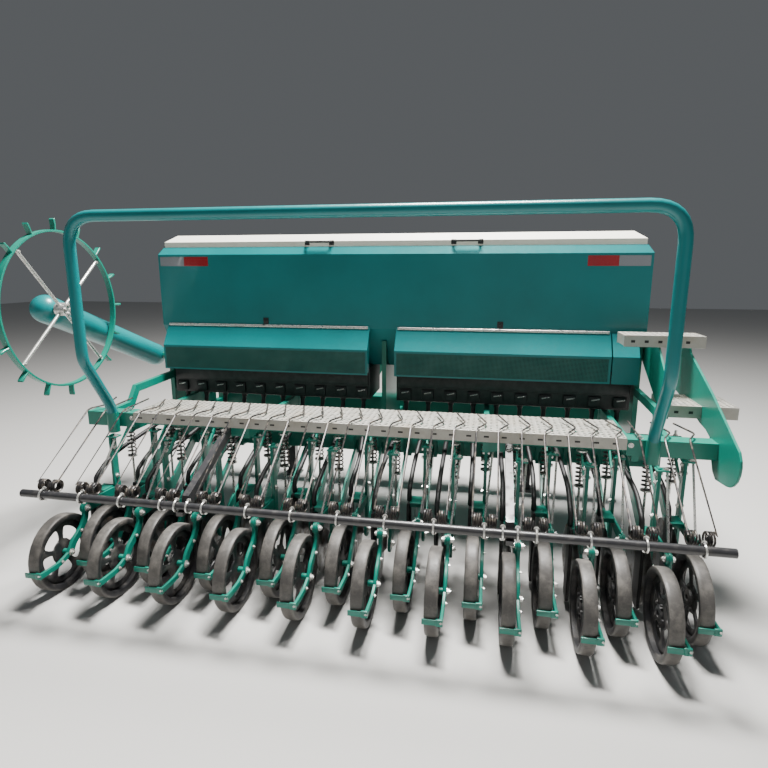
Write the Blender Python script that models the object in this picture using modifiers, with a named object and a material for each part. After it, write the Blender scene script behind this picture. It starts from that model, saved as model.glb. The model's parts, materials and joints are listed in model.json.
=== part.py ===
"""Mounted 3 m seed drill with 20 disc openers, hopper, walkway, following harrow and drive wheel.

X runs across the machine, +Y is the way it travels and Z is up. All sizes are in metres. The shapes
are modelled about the machine's centre line, with Y = 0 just behind the rear press wheels, and the
whole machine is then moved so that the origin is the middle of its footprint on the ground.
"""
import math

import bmesh
import bpy
from mathutils import Matrix, Vector

# ---- driving dimensions -------------------------------------------------------------------------
GAP = 0.0003                  # between pieces that rest on or are bolted to each other
RUNNING = 0.0005              # between a pin or rod and what it turns in

ROW_COUNT = 20
ROW_PITCH = 0.150
REAR_AXLE_Y = 0.165           # press wheels of the rear row
ROW_STAGGER = 0.140           # how far the front row runs ahead of the rear row

WHEEL_RADIUS = 0.182
WHEEL_WIDTH = 0.056
WHEEL_RIM = 0.034             # height of the tyre and rim over the web
WHEEL_WEB = 0.016             # thickness of the web
DISC_RADIUS = 0.170
DISC_THICKNESS = 0.005
DISC_ANGLE = math.radians(5)  # each disc runs at this angle to the row
EYE_LEAD = 0.130              # the wheel arm's pivot, ahead of its axle
EYE_Z = 0.352
DISC_LEAD = 0.370             # disc axle ahead of its press wheel's axle

TOOLBAR_Y = 1.160
TOOLBAR_Z = 0.500
TOOLBAR_SIZE = 0.090
ARM_GAP = 0.036               # from the row's centre to the opener's side plate
ARM_THICKNESS = 0.014
SHANK_TOP = 0.660
SPRING_LEAD = 0.160           # pressure spring ahead of the disc axle
SPRING_RADIUS = 0.013         # guide rod inside the pressure spring
PRESS_BEAM = 0.040
PRESS_BEAM_TOP = 0.720
STUB_RADIUS = 0.012
BOOT_THICKNESS = 0.014
BOOT_OFFSET = 0.016           # from the row's centre to the boot
BOOT_TOP = 0.385
TUBE_RADIUS = 0.012

HOPPER_HALF = 1.350
HOPPER_REAR = 1.050
HOPPER_FRONT = 1.620
HOPPER_BOTTOM = 0.970
HOPPER_SHOULDER = 1.190       # where the sloping bottom meets the upright walls
HOPPER_RIM = 1.594
HOPPER_TOP = 1.634
HOPPER_WALL = 0.004
HOPPER_FLOOR_REAR = 1.160
HOPPER_FLOOR_FRONT = 1.340
COLLAR = 0.025                # how far the top collar leans in
LIP = 0.025                   # flat lip that the lid closes on
LID_FLANGE = 0.031
LID_HEIGHT = 0.070
LID_BEVEL = 0.055
LID_INSET = 0.005
SHEET = 0.003

METER_LEFT = (-1.300, -0.090)
METER_RIGHT = (0.060, 1.300)
METER_REAR = 1.040
METER_BOTTOM = 0.785
OUTLET_END = 0.050            # first and last seed outlet from the ends of the metering row
OUTLET_Y = 1.100
COVER_REAR = 0.970
COVER_EAVE = 1.080
COVER_BOTTOM = 0.940
COVER_END = 0.010             # the covers overlap the metering row's ends by this much
END_CASE = 1.181              # the drive case takes the right end from here
HINGE_ROD = 0.008

FRAME_TUBE = 0.120
FRAME_FRONT_Y = 1.720
FRAME_Z = 0.600
CROSS_SIZE = 0.060
FRAME_HALF = 1.345
SADDLE_THICKNESS = 0.025
SADDLE_MIDDLE = -0.015
ARM_HALF_OUTER = 1.185
ARM_HALF_INNER = 0.565
ARM_WIDTH = 0.030
ARM_HEIGHT = 0.054

WALKWAY_HALF = 1.144
WALKWAY_REAR = 0.400
WALKWAY_DEPTH = 0.290
WALKWAY_FLANGE = 0.050
END_BEAM_REACH = 1.400
END_BEAM_HEIGHT = 0.070

RAIL_HALF = 1.2225
RAIL_FOOT_HALF = 1.240        # the posts lean in a little from their feet
RAIL_RADIUS = 0.0245
RAIL_Y = 0.196
RAIL_TOP = 1.735
RAIL_BEND = 0.130

HARROW_Z = 0.551
HARROW_Y = -0.005
HARROW_HALF = 1.432
HARROW_RADIUS = 0.017
TINE_UNITS = 15
TINE_PITCH = 0.190
TINE_SPREAD = 0.0475          # leg to the middle of its unit
TINE_WIRE = 0.0045
TINE_KINK = 0.045
COIL_RADIUS = 0.025
COIL_LENGTH = 0.032
STRUT_X = 0.665
STRUT_WIDTH = 0.030
STRUT_END = 0.440

DRIVE_WHEEL_X = -1.620
DRIVE_WHEEL_RADIUS = 0.394
DRIVE_LUGS = 16
DRIVE_LUG_LENGTH = 0.062
DRIVE_HUB = (0.575, 1.310)    # Y and Z of its axle when it is raised
DRIVE_PIVOT = (1.500, 0.930)  # Y and Z of the arm's pivot
DRIVE_ARM_RADIUS = 0.074

STEP_PLATE_X = 1.495
STEP_PLATE = 0.010
STEP_HEIGHT = 0.055
HEADSTOCK_DEPTH = 0.150
LINK_SPREAD = 0.4125          # half the span of the lower links
MAST_HEIGHT = 0.610           # top link above the lower links
STAND_X = 0.850
STAND_SIZE = 0.060
STAND_TOP = 0.800
FOOT_SIZE = 0.120

TRAVEL_AXIS = Matrix(((0, 0, 1), (1, 0, 0), (0, 1, 0))).to_4x4()   # outline's x, y to Y, Z


# ---- collections and materials ------------------------------------------------------------------
for thing in list(bpy.data.objects):
    bpy.data.objects.remove(thing, do_unlink=True)

parts = bpy.data.collections.new("seed_drill")
tools = bpy.data.collections.new("cutters")
bpy.context.scene.collection.children.link(parts)
bpy.context.scene.collection.children.link(tools)

origin = bpy.data.objects.new("machine_origin", None)
parts.objects.link(origin)


def make_material(name, color, roughness, metallic=0.0):
    material = bpy.data.materials.new(name)
    material.use_nodes = True
    shader = material.node_tree.nodes["Principled BSDF"]
    shader.inputs["Base Color"].default_value = (*color, 1)
    shader.inputs["Roughness"].default_value = roughness
    shader.inputs["Metallic"].default_value = metallic
    return material


TEAL = make_material("teal_paint", (0.0, 0.10, 0.10), 0.35)
GREEN = make_material("green_frame_paint", (0.0, 0.19, 0.13), 0.40)
CREAM = make_material("cream_lid", (0.80, 0.80, 0.72), 0.45)
ZINC = make_material("galvanised_steel", (0.55, 0.54, 0.50), 0.45, 1.0)
STEEL = make_material("disc_steel", (0.42, 0.42, 0.43), 0.35, 1.0)
BLACK = make_material("black_wheel", (0.035, 0.035, 0.038), 0.60)
GRAPHITE = make_material("graphite_paint", (0.06, 0.06, 0.065), 0.50)


# ---- solids -------------------------------------------------------------------------------------
def mesh_object(name, mesh):
    solid = bpy.data.objects.new(name, mesh)
    bpy.context.scene.collection.objects.link(solid)
    return solid


def from_bmesh(name, shape):
    mesh = bpy.data.meshes.new(name)
    bmesh.ops.recalc_face_normals(shape, faces=shape.faces)
    shape.to_mesh(mesh)
    shape.free()
    return mesh_object(name, mesh)


def box(low, high):
    shape = bmesh.new()
    middle = (Vector(low) + Vector(high)) / 2
    size = Vector(high) - Vector(low)
    bmesh.ops.create_cube(shape, size=1, matrix=Matrix.Translation(middle) @ Matrix.Diagonal((*size, 1)))
    return from_bmesh("box", shape)


def along(start, end):
    """Matrix that puts local Z along the line from start to end, centred between them."""
    start, end = Vector(start), Vector(end)
    turn = (end - start).to_track_quat("Z", "X").to_matrix().to_4x4()
    return Matrix.Translation((start + end) / 2) @ turn


def rod(start, end, radius, sides=8):
    shape = bmesh.new()
    length = (Vector(end) - Vector(start)).length
    bmesh.ops.create_cone(shape, cap_ends=True, segments=sides, radius1=radius, radius2=radius,
                          depth=length, matrix=along(start, end))
    return from_bmesh("rod", shape)


def solid_from_curve(curve, matrix):
    guide = bpy.data.objects.new("guide", curve)
    guide.matrix_world = matrix
    bpy.context.scene.collection.objects.link(guide)
    bpy.context.view_layer.update()
    graph = bpy.context.evaluated_depsgraph_get()
    mesh = bpy.data.meshes.new_from_object(guide.evaluated_get(graph))
    mesh.transform(matrix)
    bpy.data.objects.remove(guide)
    shape = bmesh.new()
    shape.from_mesh(mesh)
    bmesh.ops.remove_doubles(shape, verts=shape.verts, dist=0.00001)
    return from_bmesh("curve", shape)


def add_path(curve, points, closed):
    spline = curve.splines.new("POLY")
    spline.points.add(len(points) - 1)
    for point, place in zip(spline.points, points):
        point.co = (*place, 1)
    spline.use_cyclic_u = closed


def plate(outline, low_x, high_x):
    """Flat outline of (Y, Z) points, as thick as it is from low_x to high_x."""
    curve = bpy.data.curves.new("outline", "CURVE")
    curve.dimensions = "2D"
    curve.fill_mode = "BOTH"
    curve.extrude = (high_x - low_x) / 2
    add_path(curve, [(y, z, 0) for y, z in outline], closed=True)
    return solid_from_curve(curve, Matrix.Translation(((low_x + high_x) / 2, 0, 0)) @ TRAVEL_AXIS)


def tube(points, radius, resolution=2):
    curve = bpy.data.curves.new("path", "CURVE")
    curve.dimensions = "3D"
    curve.bevel_depth = radius
    curve.bevel_resolution = resolution
    curve.use_fill_caps = True
    add_path(curve, points, closed=False)
    return solid_from_curve(curve, Matrix.Identity(4))


def arc(centre, radius, start, end, steps):
    """Points of a circle's arc in a plane, by angle in degrees."""
    angles = [math.radians(start + (end - start) * step / steps) for step in range(steps + 1)]
    return [(centre[0] + radius * math.cos(a), centre[1] + radius * math.sin(a)) for a in angles]


def shell(sections, bottom, thickness):
    """Open shell through level rectangles (z, half width, rear y, front y), walled inwards."""
    shape = bmesh.new()
    z, half, rear, front = sections[0]
    corners = [shape.verts.new(place) for place in
               ((-half, rear, z), (half, rear, z), (half, front, z), (-half, front, z))]
    floor = shape.faces.new(corners)
    rim = list(floor.edges)
    for (z, half, rear, front), (old_z, old_half, old_rear, old_front) in zip(sections[1:], sections):
        raised = bmesh.ops.extrude_edge_only(shape, edges=rim)["geom"]
        moved = [item for item in raised if isinstance(item, bmesh.types.BMVert)]
        rim = [item for item in raised if isinstance(item, bmesh.types.BMEdge)]
        for vert in moved:
            vert.co.z = z
            vert.co.x = math.copysign(half, vert.co.x)
            vert.co.y = rear if vert.co.y < (old_rear + old_front) / 2 else front
    if not bottom:
        bmesh.ops.delete(shape, geom=[floor], context="FACES_ONLY")
    solid = from_bmesh("shell", shape)
    wall = solid.modifiers.new("wall", "SOLIDIFY")
    wall.thickness = thickness
    wall.offset = -1
    wall.use_even_offset = True
    return solid


def baked(solid):
    """The object's evaluated mesh, for what is joined to others."""
    graph = bpy.context.evaluated_depsgraph_get()
    mesh = bpy.data.meshes.new_from_object(solid.evaluated_get(graph))
    bpy.data.objects.remove(solid)
    return mesh_object("baked", mesh)


def together(solids):
    """Solids that don't touch each other, gathered in one mesh so that one union can join them."""
    shape = bmesh.new()
    for solid in solids:
        shape.from_mesh(solid.data)
        bpy.data.objects.remove(solid)
    return from_bmesh("group", shape)


def joined(solids):
    """Boolean union of overlapping solids."""
    first = solids[0]
    for other in solids[1:]:
        union = first.modifiers.new("union", "BOOLEAN")
        union.operation = "UNION"
        union.solver = "EXACT"
        union.object = other
    bpy.context.view_layer.update()
    result = baked(first)
    for other in solids[1:]:
        bpy.data.objects.remove(other)
    return result


def copied(solid, offsets):
    copies = []
    for offset in offsets:
        mesh = solid.data.copy()
        mesh.transform(Matrix.Translation(offset))
        copies.append(mesh_object("copy", mesh))
    bpy.data.objects.remove(solid)
    return copies


def keep(name, solid, material, pivot=(0, 0, 0), smooth=False):
    """Name a finished solid, put its own origin at its pivot and hang it on the machine."""
    solid.name = name
    solid.data.name = name
    solid.data.transform(Matrix.Translation(-Vector(pivot)))
    solid.location = pivot
    solid.data.materials.clear()
    solid.data.materials.append(material)
    if smooth:
        solid.data.shade_smooth()
        solid.data.set_sharp_from_angle(angle=math.radians(35))
    bpy.context.scene.collection.objects.unlink(solid)
    parts.objects.link(solid)
    solid.parent = origin
    return solid


# ---- press wheels and opener discs --------------------------------------------------------------
def row_x(row):
    return (row - (ROW_COUNT - 1) / 2) * ROW_PITCH


def axle_y(row):
    return REAR_AXLE_Y + (ROW_STAGGER if row % 2 else 0)


def press_wheel_mesh():
    """Drum with its web recessed on both sides, its axle along X."""
    shape = bmesh.new()
    turn = Matrix.Rotation(math.pi / 2, 4, "Y")
    bmesh.ops.create_cone(shape, cap_ends=True, segments=16, radius1=WHEEL_RADIUS, radius2=WHEEL_RADIUS,
                          depth=WHEEL_WIDTH, matrix=turn)
    for side in (-1, 1):
        shape.faces.ensure_lookup_table()
        cap = max(shape.faces, key=lambda face: face.calc_center_median().x * side)
        bmesh.ops.inset_region(shape, faces=[cap], thickness=WHEEL_RIM)
        recess = (WHEEL_WIDTH - WHEEL_WEB) / 2
        inner = bmesh.ops.extrude_face_region(shape, geom=[cap])["geom"]
        moved = [item for item in inner if isinstance(item, bmesh.types.BMVert)]
        bmesh.ops.translate(shape, verts=moved, vec=(-side * recess, 0, 0))
        bmesh.ops.delete(shape, geom=[cap], context="FACES")
    return from_bmesh("press_wheel", shape)


def disc_axis():
    return Vector((math.cos(DISC_ANGLE), math.sin(DISC_ANGLE), 0))


for row in range(ROW_COUNT):
    centre = Vector((row_x(row), axle_y(row), WHEEL_RADIUS))
    keep(f"press_wheel_{row + 1:02d}", press_wheel_mesh(), BLACK, smooth=True).location = centre
    half = disc_axis() * DISC_THICKNESS / 2
    blade = rod(-half, half, DISC_RADIUS, sides=18)
    centre = centre + Vector((0, DISC_LEAD, 0))
    keep(f"opener_disc_{row + 1:02d}", blade, STEEL, smooth=True).location = centre


# ---- opener gang: toolbar, press beams and one opener to each row -------------------------------
def opener(wheel_y):
    """One opener at X = 0: side plate with drag arm, shank, wheel arm and scraper, boot, spring."""
    disc_y = wheel_y + DISC_LEAD
    axle_z = WHEEL_RADIUS
    half_bar = 0.035
    side = plate([
        (TOOLBAR_Y, TOOLBAR_Z + half_bar), (disc_y + 0.03, 0.270), (disc_y + 0.03, SHANK_TOP),
        (disc_y - 0.02, SHANK_TOP), (disc_y - 0.02, EYE_Z + 0.024), (wheel_y + EYE_LEAD, EYE_Z + 0.028),
        (wheel_y + EYE_LEAD - 0.030, EYE_Z), (wheel_y + 0.070, 0.262), (wheel_y - 0.018, axle_z + 0.012),
        (wheel_y - WHEEL_RADIUS - 0.020, axle_z - 0.008), (wheel_y - WHEEL_RADIUS - 0.020, axle_z - 0.036),
        (wheel_y, axle_z - 0.020), (wheel_y + 0.020, axle_z), (wheel_y + 0.105, 0.250),
        (wheel_y + EYE_LEAD + 0.008, EYE_Z - 0.028), (disc_y - 0.02, EYE_Z - 0.024),
        (disc_y - 0.02, axle_z + 0.060),
        (disc_y - 0.04, axle_z), (disc_y - 0.02, axle_z - 0.035), (disc_y + 0.03, axle_z - 0.030),
        (TOOLBAR_Y, TOOLBAR_Z - half_bar)], ARM_GAP, ARM_GAP + ARM_THICKNESS)
    inner = ARM_GAP + ARM_THICKNESS / 2
    blade_y = wheel_y - WHEEL_RADIUS - 0.008
    blade = box((-WHEEL_WIDTH / 2 - 0.006, blade_y - 0.007, axle_z - 0.032),
                (inner + 0.006, blade_y, axle_z - 0.012))
    wheel_stub = rod((WHEEL_WEB / 2 + GAP, wheel_y, axle_z), (inner, wheel_y, axle_z), STUB_RADIUS)
    disc_centre = Vector((0, disc_y, axle_z))
    disc_stub = rod(disc_centre + disc_axis() * (DISC_THICKNESS / 2 + GAP),
                    disc_centre + disc_axis() * inner, STUB_RADIUS)
    boot = box((-BOOT_OFFSET - BOOT_THICKNESS, disc_y - 0.130, 0.030),
               (-BOOT_OFFSET, disc_y - 0.035, BOOT_TOP))
    bridge = box((-BOOT_OFFSET - BOOT_THICKNESS / 2, disc_y - 0.100, BOOT_TOP - 0.024),
                 (inner, disc_y, BOOT_TOP - 0.002))
    spring_y = disc_y + SPRING_LEAD
    arm_z = 0.300
    press_rod = rod((inner, spring_y, arm_z), (inner, spring_y, PRESS_BEAM_TOP - PRESS_BEAM / 2), 0.007, 6)
    spring = rod((inner, spring_y, 0.500), (inner, spring_y, PRESS_BEAM_TOP - PRESS_BEAM - 0.020),
                 SPRING_RADIUS)
    return joined([side, blade, wheel_stub, disc_stub, boot, bridge, press_rod, spring])


def row_offsets(remainder):
    return [(row_x(row), 0, 0) for row in range(ROW_COUNT) if row % 2 == remainder]


bar_end = row_x(ROW_COUNT - 1) + ARM_GAP + ARM_THICKNESS + 0.020
toolbar = box((-bar_end + 0.060, TOOLBAR_Y - TOOLBAR_SIZE / 2, TOOLBAR_Z - TOOLBAR_SIZE / 2),
              (bar_end, TOOLBAR_Y + TOOLBAR_SIZE / 2, TOOLBAR_Z + TOOLBAR_SIZE / 2))
pieces = [toolbar]
for remainder in (0, 1):
    wheel_y = axle_y(remainder)
    beam_y = wheel_y + DISC_LEAD + SPRING_LEAD
    offsets = row_offsets(remainder)
    pieces.append(together(copied(opener(wheel_y), offsets)))
    pieces.append(box((offsets[0][0], beam_y - PRESS_BEAM / 2, PRESS_BEAM_TOP - PRESS_BEAM),
                      (offsets[-1][0] + ARM_GAP + 0.040, beam_y + PRESS_BEAM / 2, PRESS_BEAM_TOP)))
keep("opener_gang", joined(pieces), GREEN)


# ---- hopper, lid and metering covers ------------------------------------------------------------
keep("hopper", baked(shell([
    (HOPPER_BOTTOM, HOPPER_HALF, HOPPER_FLOOR_REAR, HOPPER_FLOOR_FRONT),
    (HOPPER_SHOULDER, HOPPER_HALF, HOPPER_REAR, HOPPER_FRONT),
    (HOPPER_RIM, HOPPER_HALF, HOPPER_REAR, HOPPER_FRONT),
    (HOPPER_TOP, HOPPER_HALF - COLLAR, HOPPER_REAR + COLLAR, HOPPER_FRONT - COLLAR),
    (HOPPER_TOP, HOPPER_HALF - COLLAR - LIP, HOPPER_REAR + COLLAR + LIP, HOPPER_FRONT - COLLAR - LIP),
], bottom=True, thickness=HOPPER_WALL)), TEAL)

lid_half = HOPPER_HALF - COLLAR - LID_INSET
lid_rear = HOPPER_REAR + COLLAR + LID_INSET
lid_front = HOPPER_FRONT - COLLAR - LID_INSET
lid_base = HOPPER_TOP + GAP
lid_top = lid_base + LID_HEIGHT
lid_skin = baked(shell([
    (lid_top, lid_half - LID_BEVEL, lid_rear + LID_BEVEL, lid_front - LID_BEVEL),
    (lid_base + LID_FLANGE, lid_half, lid_rear, lid_front),
    (lid_base, lid_half, lid_rear, lid_front),
], bottom=True, thickness=SHEET))
LID_HINGE = (0, lid_front + 0.010, lid_base + 0.010)
lid_barrels = together([
    rod((x - 0.050, LID_HINGE[1], LID_HINGE[2]), (x + 0.050, LID_HINGE[1], LID_HINGE[2]), HINGE_ROD)
    for x in (-1.0, 0.0, 1.0)])
lid_leaves = together([
    box((x - 0.040, lid_front - SHEET / 2, LID_HINGE[2] - 0.002),
        (x + 0.040, LID_HINGE[1], LID_HINGE[2] + 0.005))
    for x in (-1.0, 0.0, 1.0)])
keep("hopper_lid", joined([lid_skin, lid_barrels, lid_leaves]), CREAM, pivot=LID_HINGE)

COVER_HINGE = (0, HOPPER_REAR - HINGE_ROD - RUNNING, HOPPER_SHOULDER + 0.004)


def metering_cover(name, low_x, high_x):
    """Bent sheet with two cheeks, hung on a rod under the hopper's rear wall."""
    hinge_y, hinge_z = COVER_HINGE[1:]
    sheet = plate([(hinge_y, hinge_z), (COVER_REAR, COVER_EAVE), (COVER_REAR, COVER_BOTTOM),
                   (COVER_REAR + SHEET, COVER_BOTTOM), (COVER_REAR + SHEET, COVER_EAVE - SHEET / 2),
                   (hinge_y + SHEET / 2, hinge_z - SHEET)], low_x, high_x)
    cheeks = together([
        plate([(hinge_y, hinge_z - SHEET / 2), (COVER_REAR + SHEET / 2, COVER_EAVE - SHEET / 2),
               (COVER_REAR + SHEET / 2, COVER_BOTTOM + 0.010), (COVER_REAR + 0.040, COVER_BOTTOM + 0.010),
               (hinge_y - 0.010, COVER_EAVE)], x, x + SHEET)
        for x in (low_x + SHEET / 4, high_x - SHEET * 1.25)])
    hinge = rod((low_x + 0.005, hinge_y, hinge_z), (high_x - 0.005, hinge_y, hinge_z), HINGE_ROD)
    keep(name, joined([sheet, cheeks, hinge]), TEAL, pivot=((low_x + high_x) / 2, hinge_y, hinge_z))


metering_cover("metering_cover_left", METER_LEFT[0] - COVER_END, METER_LEFT[1])
metering_cover("metering_cover_right", METER_RIGHT[0], END_CASE - 0.006)


# ---- metering rows with their seed tubes --------------------------------------------------------
def seed_tube(outlet_x, row):
    """Down from the metering row, back over the toolbar and into the opener's boot."""
    boot_x = row_x(row) - BOOT_OFFSET - BOOT_THICKNESS / 2
    disc_y = axle_y(row) + DISC_LEAD
    part_way = outlet_x + (boot_x - outlet_x) * 0.6
    return tube([(outlet_x, OUTLET_Y, METER_BOTTOM + 0.010), (outlet_x, OUTLET_Y - 0.008, 0.740),
                 (outlet_x, OUTLET_Y - 0.045, 0.680), (part_way, 0.960, 0.610),
                 (boot_x, disc_y + 0.120, 0.520), (boot_x, disc_y - 0.040, 0.455),
                 (boot_x, disc_y - 0.068, 0.420), (boot_x, disc_y - 0.068, BOOT_TOP + GAP)],
                TUBE_RADIUS, 1)


def metering_row(name, low_x, high_x, rows):
    spacing = (high_x - low_x - 2 * OUTLET_END) / (len(rows) - 1)
    housing = box((low_x, METER_REAR, METER_BOTTOM), (high_x, HOPPER_FLOOR_FRONT, HOPPER_BOTTOM - GAP))
    tubes = together([seed_tube(low_x + OUTLET_END + spacing * place, row)
                      for place, row in enumerate(rows)])
    solids = [housing, tubes]
    if high_x > END_CASE:
        solids.append(plate([
            (HOPPER_REAR - 0.008, HOPPER_SHOULDER), (COVER_REAR, COVER_EAVE), (COVER_REAR, COVER_BOTTOM),
            (METER_REAR + 0.010, COVER_BOTTOM), (METER_REAR + 0.010, COVER_BOTTOM + 0.020),
            (HOPPER_REAR - 0.001, COVER_BOTTOM + 0.040)], END_CASE, high_x + COVER_END))
    keep(name, joined(solids), GRAPHITE)


metering_row("metering_row_left", *METER_LEFT, range(ROW_COUNT // 2))
metering_row("metering_row_right", *METER_RIGHT, range(ROW_COUNT // 2, ROW_COUNT))


# ---- main frame ---------------------------------------------------------------------------------
WALKWAY_TOP = PRESS_BEAM_TOP + GAP + ARM_HEIGHT + GAP + WALKWAY_FLANGE
arm_low = PRESS_BEAM_TOP + GAP
arm_top = arm_low + ARM_HEIGHT
cross_low = TOOLBAR_Z + TOOLBAR_SIZE / 2 + GAP
cross_rear = TOOLBAR_Y - CROSS_SIZE / 2
cross_front = TOOLBAR_Y + CROSS_SIZE / 2
front_rear_face = FRAME_FRONT_Y - FRAME_TUBE / 2
front_face = FRAME_FRONT_Y + FRAME_TUBE / 2
beam_low = WALKWAY_TOP - 0.005 - END_BEAM_HEIGHT
END_BEAM = (WALKWAY_REAR + 0.0055, WALKWAY_REAR + 0.085)


def saddle(x):
    """Upright plate that the hopper's bottom sits in, with the brace to the walkway's end beam."""
    fall = (HOPPER_SHOULDER - HOPPER_BOTTOM) / (HOPPER_FRONT - HOPPER_FLOOR_FRONT)
    rise = (HOPPER_SHOULDER - HOPPER_BOTTOM) / (HOPPER_FLOOR_REAR - HOPPER_REAR)
    seat = 3 * GAP
    front = HOPPER_FRONT - 0.040
    rear = HOPPER_REAR + 0.035
    outline = [(1.070, cross_low + 0.050), (front, cross_low + 0.050),
               (front, HOPPER_BOTTOM + (front - HOPPER_FLOOR_FRONT) * fall - seat),
               (HOPPER_FLOOR_FRONT, HOPPER_BOTTOM - seat), (HOPPER_FLOOR_REAR, HOPPER_BOTTOM - seat),
               (rear, HOPPER_BOTTOM + (HOPPER_FLOOR_REAR - rear) * rise - seat),
               (rear - 0.012, HOPPER_BOTTOM + (HOPPER_FLOOR_REAR - rear) * rise - seat)]
    if x != SADDLE_MIDDLE:
        outline += [(1.070, 0.905), (0.700, 0.895), (0.640, 0.815), (0.480, 0.810), (0.480, 0.765),
                    (0.660, 0.775), (0.720, 0.855), (1.070, 0.865)]
    return plate(outline, x - SADDLE_THICKNESS / 2, x + SADDLE_THICKNESS / 2)


frame = [
    box((-FRAME_HALF, front_rear_face, FRAME_Z - FRAME_TUBE / 2),
        (FRAME_HALF, front_face, FRAME_Z + FRAME_TUBE / 2)),
    box((-FRAME_HALF, cross_rear, cross_low), (FRAME_HALF, cross_front, cross_low + CROSS_SIZE)),
]
side_x = FRAME_HALF - SADDLE_THICKNESS / 2
for x in (-side_x + 0.001, SADDLE_MIDDLE, side_x - 0.001):
    frame.append(box((x - 0.020, cross_front - 0.010, cross_low + 0.004),
                     (x + 0.020, front_rear_face + 0.010, cross_low + CROSS_SIZE - 0.004)))
for x in (-side_x, SADDLE_MIDDLE, side_x):
    frame.append(saddle(x))
for x in (-ARM_HALF_OUTER, -ARM_HALF_INNER, ARM_HALF_INNER, ARM_HALF_OUTER):
    low, high = x - ARM_WIDTH / 2, x + ARM_WIDTH / 2
    frame.append(box((low, cross_rear + 0.004, cross_low + 0.010), (high, cross_front - 0.004, arm_top)))
    frame.append(box((low + 0.001, WALKWAY_REAR + 0.020, arm_low),
                     (high - 0.001, cross_rear + 0.010, arm_top - GAP / 2)))
for side in (-1, 1):
    far = END_BEAM_REACH if side < 0 else STEP_PLATE_X - GAP
    low_x, high_x = sorted((side * (WALKWAY_HALF + GAP), side * far))
    frame.append(box((low_x, END_BEAM[0], beam_low), (high_x, END_BEAM[1], WALKWAY_TOP - 0.005)))
    inner, outer = sorted((side * (ARM_HALF_INNER - 0.010), side * (STRUT_X + STRUT_WIDTH / 2)))
    frame.append(box((inner, STRUT_END, arm_low + 0.002), (outer, STRUT_END + 0.050, arm_top - 0.002)))
    for x in (STAND_X - STAND_SIZE / 2 - 0.012, STAND_X + STAND_SIZE / 2 + RUNNING):
        cheek = sorted((side * x, side * (x + 0.0115)))
        frame.append(box((cheek[0], front_face - 0.005, FRAME_Z - 0.050),
                         (cheek[1], front_face + STAND_SIZE + 0.010, FRAME_Z + 0.050)))
arm_face = DRIVE_WHEEL_X - 0.025
frame.append(rod((arm_face + GAP, *DRIVE_PIVOT), (-FRAME_HALF + 0.010, *DRIVE_PIVOT), 0.030, 12))
keep("main_frame", joined(frame), GREEN)


# ---- walkway and guard rail ---------------------------------------------------------------------
walkway_front = WALKWAY_REAR + WALKWAY_DEPTH
flange_low = WALKWAY_TOP - WALKWAY_FLANGE
keep("walkway", plate([
    (WALKWAY_REAR, flange_low), (WALKWAY_REAR + SHEET, flange_low),
    (WALKWAY_REAR + SHEET, WALKWAY_TOP - SHEET), (walkway_front - SHEET, WALKWAY_TOP - SHEET),
    (walkway_front - SHEET, flange_low), (walkway_front, flange_low), (walkway_front, WALKWAY_TOP),
    (WALKWAY_REAR, WALKWAY_TOP)], -WALKWAY_HALF, WALKWAY_HALF), ZINC)


def rail_side(side):
    """One post from its foot to the top corner."""
    foot_x, x = side * RAIL_FOOT_HALF, side * RAIL_HALF
    foot_y = END_BEAM[0] - GAP - RAIL_RADIUS
    post = [(foot_x, foot_y, beam_low - 0.020), (foot_x, foot_y, 0.850), (foot_x, foot_y - 0.012, 0.885),
            (x, RAIL_Y + 0.020, 1.080), (x, RAIL_Y, 1.130)]
    corner = arc((RAIL_HALF - RAIL_BEND, RAIL_TOP - RAIL_BEND), RAIL_BEND, 0, 90, 5)
    return post + [(side * across, RAIL_Y, up) for across, up in corner]


keep("guard_rail", tube(rail_side(-1) + rail_side(1)[::-1], RAIL_RADIUS), TEAL, smooth=True)


# ---- following harrow ---------------------------------------------------------------------------
COIL_Y = HARROW_Y + HARROW_RADIUS + COIL_RADIUS - 0.004


def near_post(x):
    """A kinked leg would strike a guard rail post as the harrow turns over."""
    return min(abs(abs(x) - RAIL_HALF), abs(abs(x + TINE_KINK) - RAIL_HALF)) < RAIL_RADIUS + 0.020


def tine_leg(x):
    kink = 0 if near_post(x) else TINE_KINK
    clear = WALKWAY_TOP + 0.008 + TINE_WIRE
    return tube([(x, COIL_Y + 0.008, HARROW_Z + 0.008), (x, WALKWAY_REAR - 0.010, clear),
                 (x + kink, 0.470, clear + 0.004), (x, 0.600, clear + 0.009)], TINE_WIRE, 1)


def tine_coil(x, side):
    start = x + side * (TINE_SPREAD + TINE_WIRE)
    return rod((start, COIL_Y, HARROW_Z), (start - side * COIL_LENGTH, COIL_Y, HARROW_Z), COIL_RADIUS)


units = [(unit - (TINE_UNITS - 1) / 2) * TINE_PITCH for unit in range(TINE_UNITS)]
legs = together([tine_leg(x + side * TINE_SPREAD) for x in units for side in (-1, 1)])
coils = together([tine_coil(x, side) for x in units for side in (-1, 1)])
bar = rod((-HARROW_HALF, HARROW_Y, HARROW_Z), (HARROW_HALF, HARROW_Y, HARROW_Z), HARROW_RADIUS, 12)
keep("harrow_bar", joined([bar, coils, legs]), GRAPHITE, pivot=(0, HARROW_Y, HARROW_Z))


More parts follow.
